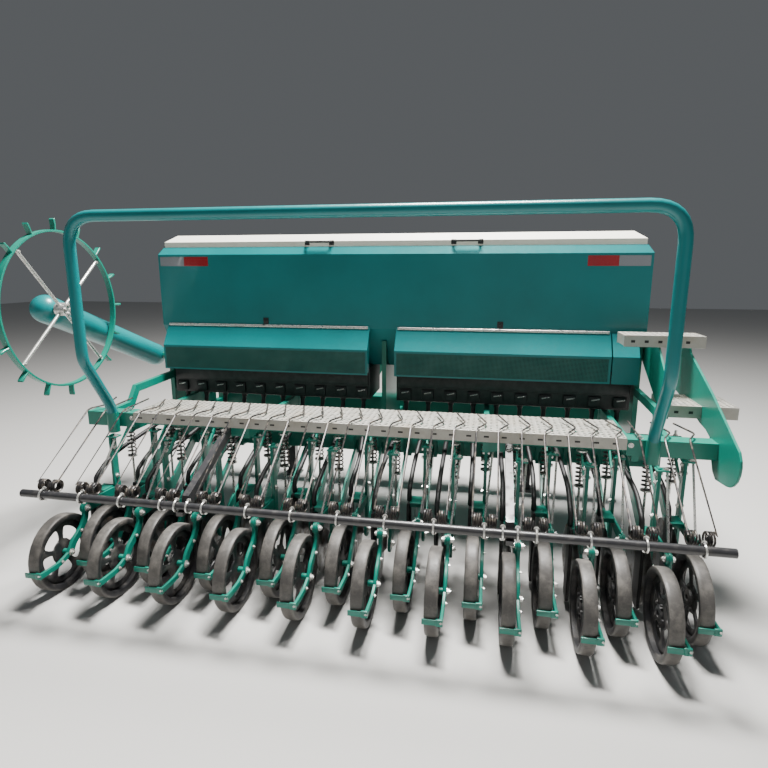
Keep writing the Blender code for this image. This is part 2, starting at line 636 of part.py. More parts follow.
for name, x in (("harrow_strut_left", -STRUT_X), ("harrow_strut_right", STRUT_X)):
    seat = HARROW_Z - HARROW_RADIUS - RUNNING
    end = STRUT_END - GAP
    keep(name, plate([
        (HARROW_Y - 0.025, seat - 0.016), (HARROW_Y + 0.060, seat - 0.016), (HARROW_Y + 0.075, HARROW_Z),
        (end, arm_low + 0.006), (end, arm_top - 0.006), (HARROW_Y + 0.030, HARROW_Z + 0.035),
        (HARROW_Y + HARROW_RADIUS + 0.005, HARROW_Z), (HARROW_Y + HARROW_RADIUS + 0.005, seat),
        (HARROW_Y - 0.025, seat)], x - STRUT_WIDTH / 2, x + STRUT_WIDTH / 2), GRAPHITE)


# ---- ground drive wheel on its arm --------------------------------------------------------------
def knuckle(place):
    ball = bmesh.new()
    bmesh.ops.create_uvsphere(ball, u_segments=20, v_segments=12, radius=DRIVE_ARM_RADIUS,
                              matrix=Matrix.Translation(place) @ Matrix.Rotation(math.pi / 2, 4, "Y"))
    return from_bmesh("knuckle", ball)


arm_x = arm_face - DRIVE_ARM_RADIUS
ends = (arm_x, *DRIVE_PIVOT), (arm_x, *DRIVE_HUB)
case = joined([rod(*ends, DRIVE_ARM_RADIUS, 20)] + [knuckle(place) for place in ends])
keep("drive_arm", case, TEAL, pivot=(arm_face, *DRIVE_PIVOT))


def drive_wheel():
    rim = bmesh.new()
    inner, outer, half = DRIVE_WHEEL_RADIUS - 0.006, DRIVE_WHEEL_RADIUS + 0.006, 0.016
    section = ((-half, inner), (-half, outer), (half, outer), (half, inner))
    loop = [rim.verts.new((x, r, 0)) for x, r in section]
    edges = [rim.edges.new((loop[i - 1], loop[i])) for i in range(4)]
    bmesh.ops.spin(rim, geom=loop + edges, cent=(0, 0, 0), axis=(1, 0, 0), angle=math.tau, steps=32,
                   use_merge=True)
    lugs, spokes = [], []
    for place in range(DRIVE_LUGS):
        turn = Matrix.Rotation(math.tau * place / DRIVE_LUGS, 4, "X")
        lug = box((-0.015, -0.004, DRIVE_WHEEL_RADIUS - 0.003),
                  (0.015, 0.004, DRIVE_WHEEL_RADIUS + DRIVE_LUG_LENGTH))
        lug.data.transform(turn)
        lugs.append(lug)
    for place in range(4):
        angle = math.radians(40 + 90 * place)
        reach = DRIVE_WHEEL_RADIUS - 0.002
        spokes.append(rod((0, 0.020 * math.cos(angle), 0.020 * math.sin(angle)),
                          (0, reach * math.cos(angle), reach * math.sin(angle)), 0.009, 6))
    hub = rod((arm_face - DRIVE_WHEEL_X + GAP, 0, 0), (0.035, 0, 0), 0.035, 12)
    return joined([from_bmesh("rim", rim), hub, together(lugs)] + spokes)


keep("drive_wheel", drive_wheel(), GREEN).location = (DRIVE_WHEEL_X, *DRIVE_HUB)


# ---- access steps -------------------------------------------------------------------------------
def tread(low_x, high_x, rear, front, top):
    wall = 0.004
    return plate([(rear, top - STEP_HEIGHT), (rear + wall, top - STEP_HEIGHT), (rear + wall, top - wall),
                  (front - wall, top - wall), (front - wall, top - STEP_HEIGHT), (front, top - STEP_HEIGHT),
                  (front, top), (rear, top)], low_x, high_x)


stringer_x = HOPPER_HALF + 2 * GAP
outer_plate = plate([(1.110, 1.206), (0.910, 1.206), (0.847, 1.128), (0.549, 1.003), (0.363, 0.912),
                     (0.228, 0.845), (0.200, 0.805), (0.203, 0.760), (0.240, 0.705), (0.300, 0.680),
                     (0.404, 0.668), (0.462, 0.724), (0.512, 0.818), (0.635, 0.845), (0.773, 0.880),
                     (1.035, 0.925), (1.110, 0.990)],
                    STEP_PLATE_X, STEP_PLATE_X + STEP_PLATE)
inner_plate = plate([(1.140, 1.202), (0.900, 1.202), (0.640, 1.000), (0.620, 0.860), (0.720, 0.860),
                     (1.140, 1.070)], stringer_x, stringer_x + STEP_PLATE)
keep("access_steps", joined([outer_plate, inner_plate,
                             tread(1.190, 1.548, 0.812, 0.962, 1.210),
                             tread(stringer_x + 0.001, 1.645, 0.625, 0.875, 0.922)]), GREEN)


# ---- headstock ----------------------------------------------------------------------------------
head_low, head_high = front_face + GAP, front_face + HEADSTOCK_DEPTH
link_z = FRAME_Z - 0.080
top_z = link_z + MAST_HEIGHT
head = [box((-LINK_SPREAD - 0.060, head_low, FRAME_Z - 0.045),
            (LINK_SPREAD + 0.060, head_low + 0.045, FRAME_Z + 0.045))]
for side in (-1, 1):
    for offset in (-0.045, 0.029):
        x = side * LINK_SPREAD + offset
        head.append(plate([(head_low + 0.010, FRAME_Z + 0.030), (head_low + 0.010, link_z - 0.030),
                           (head_high - 0.030, link_z - 0.035), (head_high, link_z),
                           (head_high - 0.030, link_z + 0.035)], x, x + 0.016))
    head.append(rod((side * (LINK_SPREAD + 0.060), head_high - 0.035, link_z),
                    (side * (LINK_SPREAD - 0.060), head_high - 0.035, link_z), 0.014))
    head.append(rod((side * 0.300, head_low + 0.030, FRAME_Z),
                    (side * 0.050, head_low + 0.030, top_z), 0.028, 4))
    x = side * 0.040 - 0.008
    head.append(plate([(head_low + 0.004, top_z - 0.110), (head_high - 0.040, top_z - 0.035),
                       (head_high - 0.015, top_z), (head_high - 0.040, top_z + 0.035),
                       (head_low + 0.004, top_z + 0.050)], x, x + 0.016))
head.append(box((-0.075, head_low + 0.002, top_z - 0.060), (0.075, head_low + 0.043, top_z + 0.045)))
head.append(rod((-0.065, head_high - 0.040, top_z), (0.065, head_high - 0.040, top_z), 0.012))
keep("headstock", joined(head), GREEN)


# ---- parking stands -----------------------------------------------------------------------------
for name, side in (("parking_stand_left", -1), ("parking_stand_right", 1)):
    x = side * STAND_X
    rear = front_face + RUNNING
    leg = box((x - STAND_SIZE / 2, rear, 0.006), (x + STAND_SIZE / 2, rear + STAND_SIZE, STAND_TOP))
    middle = rear + STAND_SIZE / 2
    foot = box((x - FOOT_SIZE / 2, middle - FOOT_SIZE / 2, 0),
               (x + FOOT_SIZE / 2, middle + FOOT_SIZE / 2, 0.012))
    keep(name, joined([leg, foot]), GRAPHITE, pivot=(x, middle, 0))


# ---- origin at the middle of the footprint ------------------------------------------------------
bpy.context.view_layer.update()
corners = [solid.matrix_world @ Vector(corner) for solid in parts.objects if solid.type == "MESH"
           for corner in solid.bound_box]
middle_x = (min(c.x for c in corners) + max(c.x for c in corners)) / 2
middle_y = (min(c.y for c in corners) + max(c.y for c in corners)) / 2
origin.location = (-middle_x, -middle_y, 0)
bpy.context.view_layer.update()
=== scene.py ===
import math

import bmesh
import bpy
from mathutils import Matrix, Vector
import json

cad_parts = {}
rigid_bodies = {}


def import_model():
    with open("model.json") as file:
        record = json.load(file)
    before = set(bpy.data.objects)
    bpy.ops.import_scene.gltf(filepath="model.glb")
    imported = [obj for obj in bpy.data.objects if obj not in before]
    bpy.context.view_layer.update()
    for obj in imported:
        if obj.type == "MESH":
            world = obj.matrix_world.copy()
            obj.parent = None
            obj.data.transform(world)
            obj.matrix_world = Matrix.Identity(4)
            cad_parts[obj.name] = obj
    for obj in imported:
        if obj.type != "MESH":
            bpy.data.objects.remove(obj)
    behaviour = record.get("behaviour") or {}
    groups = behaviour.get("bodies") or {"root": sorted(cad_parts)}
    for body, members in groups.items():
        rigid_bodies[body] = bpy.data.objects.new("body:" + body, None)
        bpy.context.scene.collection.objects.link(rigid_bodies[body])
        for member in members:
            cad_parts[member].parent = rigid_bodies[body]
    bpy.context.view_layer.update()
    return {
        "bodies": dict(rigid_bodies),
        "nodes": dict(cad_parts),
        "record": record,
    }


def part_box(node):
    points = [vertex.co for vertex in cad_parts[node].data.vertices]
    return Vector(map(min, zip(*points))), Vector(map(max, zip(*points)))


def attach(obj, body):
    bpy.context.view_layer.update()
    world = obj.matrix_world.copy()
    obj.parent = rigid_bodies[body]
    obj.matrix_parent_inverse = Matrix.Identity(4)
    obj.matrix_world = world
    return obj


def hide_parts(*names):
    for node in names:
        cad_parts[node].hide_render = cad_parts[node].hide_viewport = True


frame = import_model()

# ---- Yard and light ----------------------------------------------------------
# The machine stands on a plain pale floor. A broad light overhead brightens what
# faces up, and a weaker one from behind the viewer fills the shaded rear.
floor_size = 40
camera_aside = 0.556
camera_back = 3.008
camera_height = 1.521
camera_pitch = math.radians(90 - 11.86)
camera_yaw = math.radians(10.67)
camera_lens = 25.95


def bare_mesh(name, shape):
    """The shape as a new object at the origin."""
    mesh = bpy.data.meshes.new(name)
    shape.to_mesh(mesh)
    shape.free()
    piece = bpy.data.objects.new(name, mesh)
    bpy.context.scene.collection.objects.link(piece)
    return piece


def set_light(name, place, aim, size, watts, color):
    lamp = bpy.data.lights.new(name, "AREA")
    lamp.shape = "RECTANGLE"
    lamp.size, lamp.size_y = size
    lamp.energy = watts
    lamp.color = color
    holder = bpy.data.objects.new(name, lamp)
    holder.location = place
    holder.rotation_euler = (Vector(aim) - Vector(place)).to_track_quat("-Z", "Y").to_euler()
    bpy.context.scene.collection.objects.link(holder)


floor_shape = bmesh.new()
bmesh.ops.create_grid(floor_shape, x_segments=1, y_segments=1, size=floor_size / 2)
floor = bare_mesh("floor", floor_shape)
floor_paint = bpy.data.materials.new("pale_floor")
floor_paint.use_nodes = True
floor_shader = floor_paint.node_tree.nodes["Principled BSDF"]
floor_shader.inputs["Base Color"].default_value = (0.52, 0.515, 0.50, 1)
floor_shader.inputs["Roughness"].default_value = 0.9
floor.data.materials.append(floor_paint)

set_light("overhead", (0.4, 0.60, 6.0), (0, 0, 0.9), (2.0, 1.0), 1600, (1, 0.98, 0.95))
set_light("rear_fill", (2.5, -6, 2.6), (0, 0, 0.7), (6, 4), 20, (0.93, 0.97, 1))
set_light("left_fill", (-6, -3, 3.0), (0, 0, 0.6), (4, 4), 16, (0.95, 0.98, 1))
world = bpy.data.worlds.new("studio")
world.use_nodes = True
world.node_tree.nodes["Background"].inputs["Color"].default_value = (0.80, 0.85, 0.90, 1)
world.node_tree.nodes["Background"].inputs["Strength"].default_value = 0.13
bpy.context.scene.world = world

camera = bpy.data.objects.new("camera", bpy.data.cameras.new("camera"))
hopper_low, hopper_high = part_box("hopper")
hopper_middle = (hopper_low.x + hopper_high.x) / 2
camera.location = (hopper_middle + camera_aside, hopper_low.y - camera_back, camera_height)
camera.rotation_euler = (camera_pitch, 0, camera_yaw)
camera.data.lens = camera_lens
bpy.context.scene.collection.objects.link(camera)
bpy.context.scene.camera = camera

# ---- Main frame --------------------------------------------------------------
# Square tube and plate, welded, with a thick coat of green paint. Dust settles on
# what faces up, and the paint is a little uneven, as a sprayed coat is.
green_color = (0.0, 0.185, 0.132)
green_dusty = (0.045, 0.225, 0.165)


class Shade:
    """A socket in a finish's node tree, with arithmetic on its values."""

    def __init__(self, socket):
        self.socket = socket

    def node(self, kind, inputs=None, output=0, **settings):
        made = self.socket.id_data.nodes.new(kind)
        for name, value in settings.items():
            setattr(made, name, value)
        for name, value in (inputs or {}).items():
            if isinstance(value, Shade):
                self.socket.id_data.links.new(value.socket, made.inputs[name])
            else:
                made.inputs[name].default_value = value
        return Shade(made.outputs[output])

    def sum(self, operation, first, second):
        return self.node("ShaderNodeMath", {0: first, 1: second}, operation=operation)

    def __add__(self, other):
        return self.sum("ADD", self, other)

    def __radd__(self, other):
        return self.sum("ADD", other, self)

    def __sub__(self, other):
        return self.sum("SUBTRACT", self, other)

    def __rsub__(self, other):
        return self.sum("SUBTRACT", other, self)

    def __mul__(self, other):
        return self.sum("MULTIPLY", self, other)

    def __rmul__(self, other):
        return self.sum("MULTIPLY", other, self)

    def limited(self, low=0.0, high=1.0, to_low=0.0, to_high=1.0):
        return self.node("ShaderNodeMapRange", {"Value": self, "From Min": low, "From Max": high,
                                                "To Min": to_low, "To Max": to_high}, clamp=True)

    def mixed(self, first, second):
        """First where this is 0 and second where it is 1, as colours."""
        colors = [value if isinstance(value, Shade) else (*value, 1) for value in (first, second)]
        return self.node("ShaderNodeMix", {"Factor": self, "A": colors[0], "B": colors[1]},
                         output="Result", data_type="RGBA")

    def noise(self, scale, detail=3, roughness=0.55):
        return self.node("ShaderNodeTexNoise", {"Vector": self, "Scale": scale, "Detail": detail,
                                                "Roughness": roughness})

    def part(self, axis):
        return self.node("ShaderNodeSeparateXYZ", {"Vector": self}, output="XYZ".index(axis))

    def stretched(self, x, y, z):
        return self.node("ShaderNodeMapping", {"Vector": self, "Scale": (x, y, z)})


def finish_on(name):
    """A new material, its shader and the object's own coordinates."""
    material = bpy.data.materials.new(name)
    material.use_nodes = True
    tree = material.node_tree
    coordinates = tree.nodes.new("ShaderNodeTexCoord")
    return material, tree.nodes["Principled BSDF"], Shade(coordinates.outputs["Object"])


def feed(shader, **values):
    """Links or values for the shader, with underscores for the spaces in socket names."""
    for name, value in values.items():
        socket = shader.inputs[name.replace("_", " ")]
        if isinstance(value, Shade):
            shader.id_data.links.new(value.socket, socket)
        else:
            socket.default_value = (*value, 1) if isinstance(value, tuple) else value


def bumped(place, height, strength, distance):
    return place.node("ShaderNodeBump", {"Strength": strength, "Distance": distance, "Height": height})


def facing_up(place):
    """1 on level tops, falling to 0 on walls and undersides."""
    return place.node("ShaderNodeNewGeometry", output="Normal").part("Z").limited(0.2, 0.95)


def sprayed_paint(name, color, dusty, roughness, dust):
    material, shader, place = finish_on(name)
    cloud = place.noise(2.5, 4)
    speck = place.noise(60, 5, 0.7)
    settled = facing_up(place) * speck.limited(0.42, 0.68) * dust
    film = cloud.limited(0.45, 0.7) * speck.limited(0.45, 0.75) * (dust * 0.5)
    darker, lighter = tuple(c * 0.88 for c in color), tuple(c * 1.12 for c in color)
    shade = cloud.limited(0.3, 0.7).mixed(darker, lighter)
    dirt = (settled + film).limited()
    feed(shader, Base_Color=dirt.mixed(shade, dusty), Roughness=dirt * 0.35 + speck * 0.10 + (roughness - 0.05),
         Coat_Weight=0.16, Coat_Roughness=0.15, Normal=bumped(place, place.noise(350, 2), 0.12, 0.0006))
    return material


def coat(node, material):
    """Gives a carried-over solid its finish."""
    frame["nodes"][node].data.materials.clear()
    frame["nodes"][node].data.materials.append(material)


green_paint = sprayed_paint("green_frame_paint", green_color, green_dusty, 0.36, 0.25)
for node in ("main_frame", "headstock", "access_steps"):
    coat(node, green_paint)

# ---- Hopper ------------------------------------------------------------------
# Folded 4 mm sheet in deep teal gloss paint. The rear wall carries a strip of red
# and grey reflective tape in each upper corner, and its ends are folded flanges.
teal_color = (0.0, 0.180, 0.188)
teal_dusty = (0.030, 0.210, 0.212)
tape_height = 0.052
tape_length = 0.150
tape_top = hopper_high.z - 0.052
tape_inset = 0.012
tape_red = (0.42, 0.012, 0.02)
tape_grey = (0.30, 0.31, 0.34)

teal_paint = sprayed_paint("teal_gloss_paint", teal_color, teal_dusty, 0.30, 0.16)
coat("hopper", teal_paint)


def box_piece(shape, low, high, bevel=0.0):
    """Adds a block to the shape, with its edges rounded by the bevel."""
    low, high = Vector(low), Vector(high)
    size = Matrix.Diagonal((*(high - low), 1))
    made = bmesh.ops.create_cube(shape, size=1, matrix=Matrix.Translation((low + high) / 2) @ size)
    if bevel:
        edges = list({edge for vert in made["verts"] for edge in vert.link_edges})
        bmesh.ops.bevel(shape, geom=edges, offset=bevel, offset_type="OFFSET", segments=2, profile=0.5,
                        affect="EDGES", material=-1)


def finished(name, shape, material, body, smooth=False):
    """The shape as a named piece with its material, riding on its body."""
    bmesh.ops.recalc_face_normals(shape, faces=shape.faces)
    piece = bare_mesh(name, shape)
    piece.data.materials.append(material)
    if smooth:
        piece.data.shade_smooth()
        piece.data.set_sharp_from_angle(angle=math.radians(40))
    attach(piece, body)
    return piece


def reflective_tape(name, color):
    """Honeycomb of glass prisms under a clear film."""
    material, shader, place = finish_on(name)
    cell = place.node("ShaderNodeTexVoronoi", {"Vector": place, "Scale": 220}, feature="DISTANCE_TO_EDGE")
    line = cell.limited(0.03, 0.10)
    feed(shader, Base_Color=line.mixed(tuple(c * 0.7 for c in color), color), Roughness=0.35 - line * 0.12,
         Metallic=0.2, Coat_Weight=0.6)
    return material


red_tape = reflective_tape("red_reflective_tape", tape_red)
grey_tape = reflective_tape("grey_reflective_tape", tape_grey)
tape_right = hopper_high.x - tape_inset - 2 * tape_length
for side, x, first, second in (("left", hopper_low.x + tape_inset, grey_tape, red_tape),
                               ("right", tape_right, red_tape, grey_tape)):
    for place, material in ((0, first), (1, second)):
        strip = bmesh.new()
        start = x + place * tape_length
        box_piece(strip, (start, hopper_low.y - 0.0008, tape_top - tape_height),
                  (start + tape_length - 0.0005, hopper_low.y - 0.0001, tape_top))
        finished(f"tape_{side}_{place + 1}", strip, material, "frame")

# ---- Lid ---------------------------------------------------------------------
# Pressed cream sheet that sheds rain, hinged at the front. Two black plastic
# handles are riveted to its rear flange.
lid_low, lid_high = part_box("hopper_lid")
handle_places = (-0.38, 0.43)
handle_half = 0.070
handle_reach = 0.022

cream, shader, place = finish_on("cream_lid_paint")
grime = place.noise(5, 5, 0.65).limited(0.5, 0.8) * 0.35
feed(shader, Base_Color=grime.mixed((0.80, 0.79, 0.70), (0.52, 0.48, 0.38)), Roughness=grime * 0.4 + 0.38,
     Coat_Weight=0.2, Normal=bumped(place, place.noise(240, 2), 0.10, 0.0006))
coat("hopper_lid", cream)

# Also used for the slots on the walkway and tread flanges, where it is painted shade in place of openings.
black_plastic_and_slot_shade, shader, place = finish_on("black_plastic_and_slot_shade")
grain = place.noise(900, 2)
scuffed = place.noise(30, 4).limited(0.4, 0.8)
feed(shader, Base_Color=scuffed.mixed((0.010, 0.010, 0.011), (0.030, 0.030, 0.031)),
     Roughness=grain * 0.15 + 0.42, Normal=bumped(place, grain, 0.25, 0.0005))


def bent_rod(name, points, radius, sides=3):
    """Round bar or wire through the points, as a mesh."""
    curve = bpy.data.curves.new(name, "CURVE")
    curve.dimensions = "3D"
    curve.bevel_depth = radius
    curve.bevel_resolution = sides
    curve.use_fill_caps = True
    spline = curve.splines.new("POLY")
    spline.points.add(len(points) - 1)
    for point, spot in zip(spline.points, points):
        point.co = (*spot, 1)
    guide = bpy.data.objects.new(name, curve)
    bpy.context.scene.collection.objects.link(guide)
    graph = bpy.context.evaluated_depsgraph_get()
    mesh = bpy.data.meshes.new_from_object(guide.evaluated_get(graph))
    bpy.data.objects.remove(guide)
    bpy.data.curves.remove(curve)
    return mesh


def rounded_path(corners, radius, steps=5):
    """The corners with each inner one turned into a short arc."""
    points = [Vector(corners[0])]
    for before, corner, after in zip(corners, corners[1:], corners[2:]):
        before, corner, after = Vector(before), Vector(corner), Vector(after)
        reach = min(radius, (corner - before).length / 2, (after - corner).length / 2)
        start = corner + (before - corner).normalized() * reach
        end = corner + (after - corner).normalized() * reach
        for step in range(steps + 1):
            t = step / steps
            points.append(start * (1 - t) ** 2 + corner * 2 * t * (1 - t) + end * t ** 2)
    return points + [Vector(corners[-1])]


for number, x in enumerate(handle_places, 1):
    middle = x + (lid_low.x + lid_high.x) / 2
    grip_z = lid_low.z + 0.027
    wall = lid_low.y
    left, right = middle - handle_half, middle + handle_half
    grip = [(left, wall + 0.001, grip_z), (left, wall - handle_reach, grip_z),
            (right, wall - handle_reach, grip_z), (right, wall + 0.001, grip_z)]
    handle = bmesh.new()
    handle.from_mesh(bent_rod("handle", rounded_path(grip, 0.012), 0.006))
    for foot in (left, right):
        box_piece(handle, (foot - 0.014, wall - 0.004, grip_z - 0.018),
                  (foot + 0.014, wall - 0.0002, grip_z + 0.008), 0.0015)
    finished(f"lid_handle_{number}", handle, black_plastic_and_slot_shade, "lid", smooth=True)

# ---- Press wheels ------------------------------------------------------------
# A smooth black rubber tread on a cast web with five kidney-shaped openings. The
# tread is painted lighter grey, partly as wear and partly as a painted highlight,
# and carries dry soil, so the web stays darker.
wheel_low, wheel_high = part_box("press_wheel_01")
wheel_radius = (wheel_high.z - wheel_low.z) / 2
wheel_half = (wheel_high.x - wheel_low.x) / 2
tread_height = 0.030
tread_edge = 0.0045
web_half = 0.006
wheel_boss = 0.034
opening_inner, opening_outer = 0.062, 0.118
openings = 5
steps_per_opening = 8

wheel_rubber, shader, place = finish_on("wheel_rubber")
soil = place.noise(14, 6, 0.7).limited(0.46, 0.74)
scuff = place.noise(120, 4, 0.6)
on_tread = place.node("ShaderNodeAttribute", output="Fac", attribute_name="tread")
# The tread's lighter grey is partly wear and partly a painted highlight.
wear_and_highlight = on_tread * (0.35 + scuff * 0.5)
feed(shader, Base_Color=(soil * 0.6 + wear_and_highlight * 0.5).limited().mixed((0.020, 0.020, 0.022), (0.200, 0.185, 0.165)),
     Roughness=soil * 0.3 + scuff * 0.2 + 0.38, Normal=bumped(place, scuff, 0.25, 0.002))


def spun(shape, profile, axis, steps):
    """Turns a closed outline round the axis."""
    corners = [shape.verts.new(point) for point in profile]
    edges = [shape.edges.new((corners[i - 1], corners[i])) for i in range(len(corners))]
    bmesh.ops.spin(shape, geom=corners + edges, cent=(0, 0, 0), axis=axis, angle=math.tau, steps=steps,
                   use_merge=True)


def as_mesh(shape):
    piece = bare_mesh("template", shape)
    mesh = piece.data
    bpy.data.objects.remove(piece)
    return mesh


def bolt_ring(shape, radius, x, head, tip):
    """Five hexagon heads on a circle round the axle."""
    for corner in range(5):
        turn = Matrix.Rotation(math.tau * corner / 5, 4, "X") @ Matrix.Translation((x, 0, radius))
        bmesh.ops.create_cone(shape, cap_ends=True, segments=6, radius1=head, radius2=tip, depth=0.008,
                              matrix=turn @ Matrix.Rotation(math.pi / 2, 4, "Y"))


def press_wheel():
    shape = bmesh.new()
    rim = wheel_radius - tread_height
    w, r = wheel_half, wheel_radius
    half = [(-w + 0.004, 0, rim), (-w + 0.001, 0, rim + 0.006), (-w, 0, r - 0.011), (-w + 0.002, 0, r - 0.004),
            (-w + 0.007, 0, r - 0.001), (-w + 0.016, 0, r)]
    spun(shape, half + [(-x, y, z) for x, y, z in half[::-1]], (1, 0, 0), 56)
    web = bmesh.new()
    steps = openings * steps_per_opening
    radii = (0.020, 0.045, opening_inner, opening_outer, rim + 0.002)
    line = [web.verts.new((0, 0, radius)) for radius in radii]
    edges = [web.edges.new(pair) for pair in zip(line, line[1:])]
    bmesh.ops.spin(web, geom=line + edges, cent=(0, 0, 0), axis=(1, 0, 0), angle=math.tau, steps=steps,
                   use_merge=True)
    doomed = []
    for face in web.faces:
        middle = face.calc_center_median()
        step = int(math.degrees(math.atan2(middle.y, middle.z)) % 360 / (360 / steps))
        between_spokes = step % steps_per_opening not in (0, steps_per_opening - 1)
        if between_spokes and opening_inner < middle.length < opening_outer:
            doomed.append(face)
    bmesh.ops.delete(web, geom=doomed, context="FACES")
    bmesh.ops.solidify(web, geom=web.faces, thickness=web_half * 2)
    bmesh.ops.translate(web, verts=web.verts, vec=(-sum(v.co.x for v in web.verts) / len(web.verts), 0, 0))
    bmesh.ops.recalc_face_normals(web, faces=web.faces)
    soft = bare_mesh("web", web)
    rounding = soft.modifiers.new("rounding", "SUBSURF")
    rounding.levels = rounding.render_levels = 1
    graph = bpy.context.evaluated_depsgraph_get()
    shape.from_mesh(bpy.data.meshes.new_from_object(soft.evaluated_get(graph)))
    bpy.data.objects.remove(soft)
    spun(shape, [(-0.018, 0, 0.013), (-0.018, 0, wheel_boss - 0.004), (-0.015, 0, wheel_boss),
                 (0.006, 0, wheel_boss + 0.004), (0.007, 0, 0.013)], (1, 0, 0), 24)
    bolt_ring(shape, 0.047, -0.013, 0.006, 0.006)
    bmesh.ops.recalc_face_normals(shape, faces=shape.faces)
    mark = shape.verts.layers.float.new("tread")
    for vert in shape.verts:
        vert[mark] = 1.0 if math.hypot(vert.co.y, vert.co.z) > wheel_radius - tread_edge else 0.0
    return as_mesh(shape)


def joint_place(name):
    joints = frame["record"]["behaviour"]["joints"]
    return Vector(next(joint["pos_m"] for joint in joints if joint["name"] == name))


def placed(name, mesh, turn, material, body):
    """A copy of the mesh turned and moved to its body's axle, in place of the plain solid."""
    copy = mesh.copy()
    copy.transform(Matrix.Translation(joint_place(f"{body}_spin")) @ turn)
    copy.materials.clear()
    copy.materials.append(material)
    piece = bpy.data.objects.new(name, copy)
    bpy.context.scene.collection.objects.link(piece)
    copy.shade_smooth()
    copy.set_sharp_from_angle(angle=math.radians(40))
    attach(piece, body)
    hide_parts(body)


wheel_mesh = press_wheel()
rows = sorted(name for name in frame["bodies"] if name.startswith("press_wheel_"))
for row, name in enumerate(rows):
    turn = Matrix.Rotation(math.radians(37 * row), 4, "X")
    placed(f"wheel_{row + 1:02d}", wheel_mesh, turn, wheel_rubber, name)

# ---- Opener discs ------------------------------------------------------------
# Hardened plain discs, ground to an edge and dulled by soil, on a sealed bearing
# hub held by five bolts. Each stands at a slight angle to its row.
disc_radius = 0.170
disc_half = 0.0025
disc_turn = math.radians(5)

disc_steel, shader, place = finish_on("disc_steel")
rust = place.noise(16, 6, 0.7).limited(0.44, 0.66)
scratch = place.stretched(1, 60, 8).noise(6, 4)
feed(shader, Base_Color=rust.mixed((0.20, 0.20, 0.205), (0.10, 0.075, 0.055)), Metallic=0.9 - rust * 0.7,
     Roughness=rust * 0.35 + scratch * 0.25 + 0.22, Normal=bumped(place, scratch, 0.2, 0.0008))

disc_shape = bmesh.new()
spun(disc_shape, [(-disc_half, 0, 0.012), (-disc_half, 0, disc_radius - 0.012), (-0.0004, 0, disc_radius),
                  (0.0004, 0, disc_radius), (disc_half, 0, disc_radius - 0.012), (disc_half, 0, 0.012)],
     (1, 0, 0), 64)
spun(disc_shape, [(disc_half, 0, 0.013), (disc_half, 0, 0.050), (0.010, 0, 0.047), (0.022, 0, 0.034),
                  (0.026, 0, 0.030), (0.026, 0, 0.013)], (1, 0, 0), 32)
bolt_ring(disc_shape, 0.040, 0.009, 0.006, 0.0055)
bmesh.ops.recalc_face_normals(disc_shape, faces=disc_shape.faces)
disc_mesh = as_mesh(disc_shape)
for row, name in enumerate(rows):
    turn = Matrix.Rotation(disc_turn, 4, "Z") @ Matrix.Rotation(math.radians(23 * row), 4, "X")
    body = name.replace("press_wheel", "opener_disc")
    placed(f"disc_{row + 1:02d}", disc_mesh, turn, disc_steel, body)

# ---- Openers -----------------------------------------------------------------
# Pressed and cut steel plate in bright green paint: a drag arm from the toolbar to
# the disc hub, an upright shank, and a curved arm that carries the press wheel and
# its scraper. Zinc-plated bolts hold them, and a sprung rod presses each one down.
plate_in, plate_out = 0.036, 0.050
disc_lead = 0.370
spring_lead = 0.530
hub_height = 0.182
eye = (0.130, 0.352)
rod_x = 0.043
toolbar_half = 0.045
toolbar_height = 0.500
press_beam_top = 0.720
press_beam_half = 0.020
boot_near, boot_far = -0.016, -0.030

zinc, shader, place = finish_on("zinc_plate")
tarnish = place.noise(70, 4, 0.6).limited(0.4, 0.7)
feed(shader, Base_Color=tarnish.mixed((0.72, 0.72, 0.70), (0.42, 0.40, 0.36)), Metallic=0.8 - tarnish * 0.25,
     Roughness=tarnish * 0.25 + 0.24)
spring_steel, shader, place = finish_on("spring_steel")
mark = place.noise(50, 4, 0.6).limited(0.45, 0.7)
feed(shader, Base_Color=mark.mixed((0.055, 0.053, 0.055), (0.15, 0.125, 0.10)), Metallic=0.6 - mark * 0.3,
     Roughness=mark * 0.25 + 0.34)


def cut_plate(shape, outline, low_x, high_x, bevel=0.0015):
    """Plate cut to an outline of (y, z) points, with its edges broken."""
    corners = [shape.verts.new((low_x, y, z)) for y, z in outline]
    face = shape.faces.new(corners)
    raised = bmesh.ops.extrude_face_region(shape, geom=[face])["geom"]
    moved = [item for item in raised if isinstance(item, bmesh.types.BMVert)]
    bmesh.ops.translate(shape, verts=moved, vec=(high_x - low_x, 0, 0))
    if bevel:
        rims = {edge for vert in corners + moved for edge in vert.link_edges
                if abs(edge.verts[0].co.x - edge.verts[1].co.x) < 1e-6}
        bmesh.ops.bevel(shape, geom=list(rims), offset=bevel, offset_type="OFFSET", segments=1, profile=0.5,
                        affect="EDGES", material=-1)


def round_end(centre, radius, start, end, steps=8):
    """Points of an arc in (y, z), by angle in degrees from +y."""
    angles = [math.radians(start + (end - start) * step / steps) for step in range(steps + 1)]
    return [(centre[0] + radius * math.cos(a), centre[1] + radius * math.sin(a)) for a in angles]


def smooth_line(points, steps=4):
    """A Catmull-Rom line through the points."""
    line = [Vector(point) for point in points]
    ends = [line[0] * 2 - line[1]] + line + [line[-1] * 2 - line[-2]]
    through = []
    for a, b, c, d in zip(ends, ends[1:], ends[2:], ends[3:]):
        for step in range(steps):
            t = step / steps
            through.append(b + (c - a) * t / 2 + (a * 2 - b * 5 + c * 4 - d) * t * t / 2
                           + (b * 3 - a - c * 3 + d) * t ** 3 / 2)
    return through + [line[-1]]


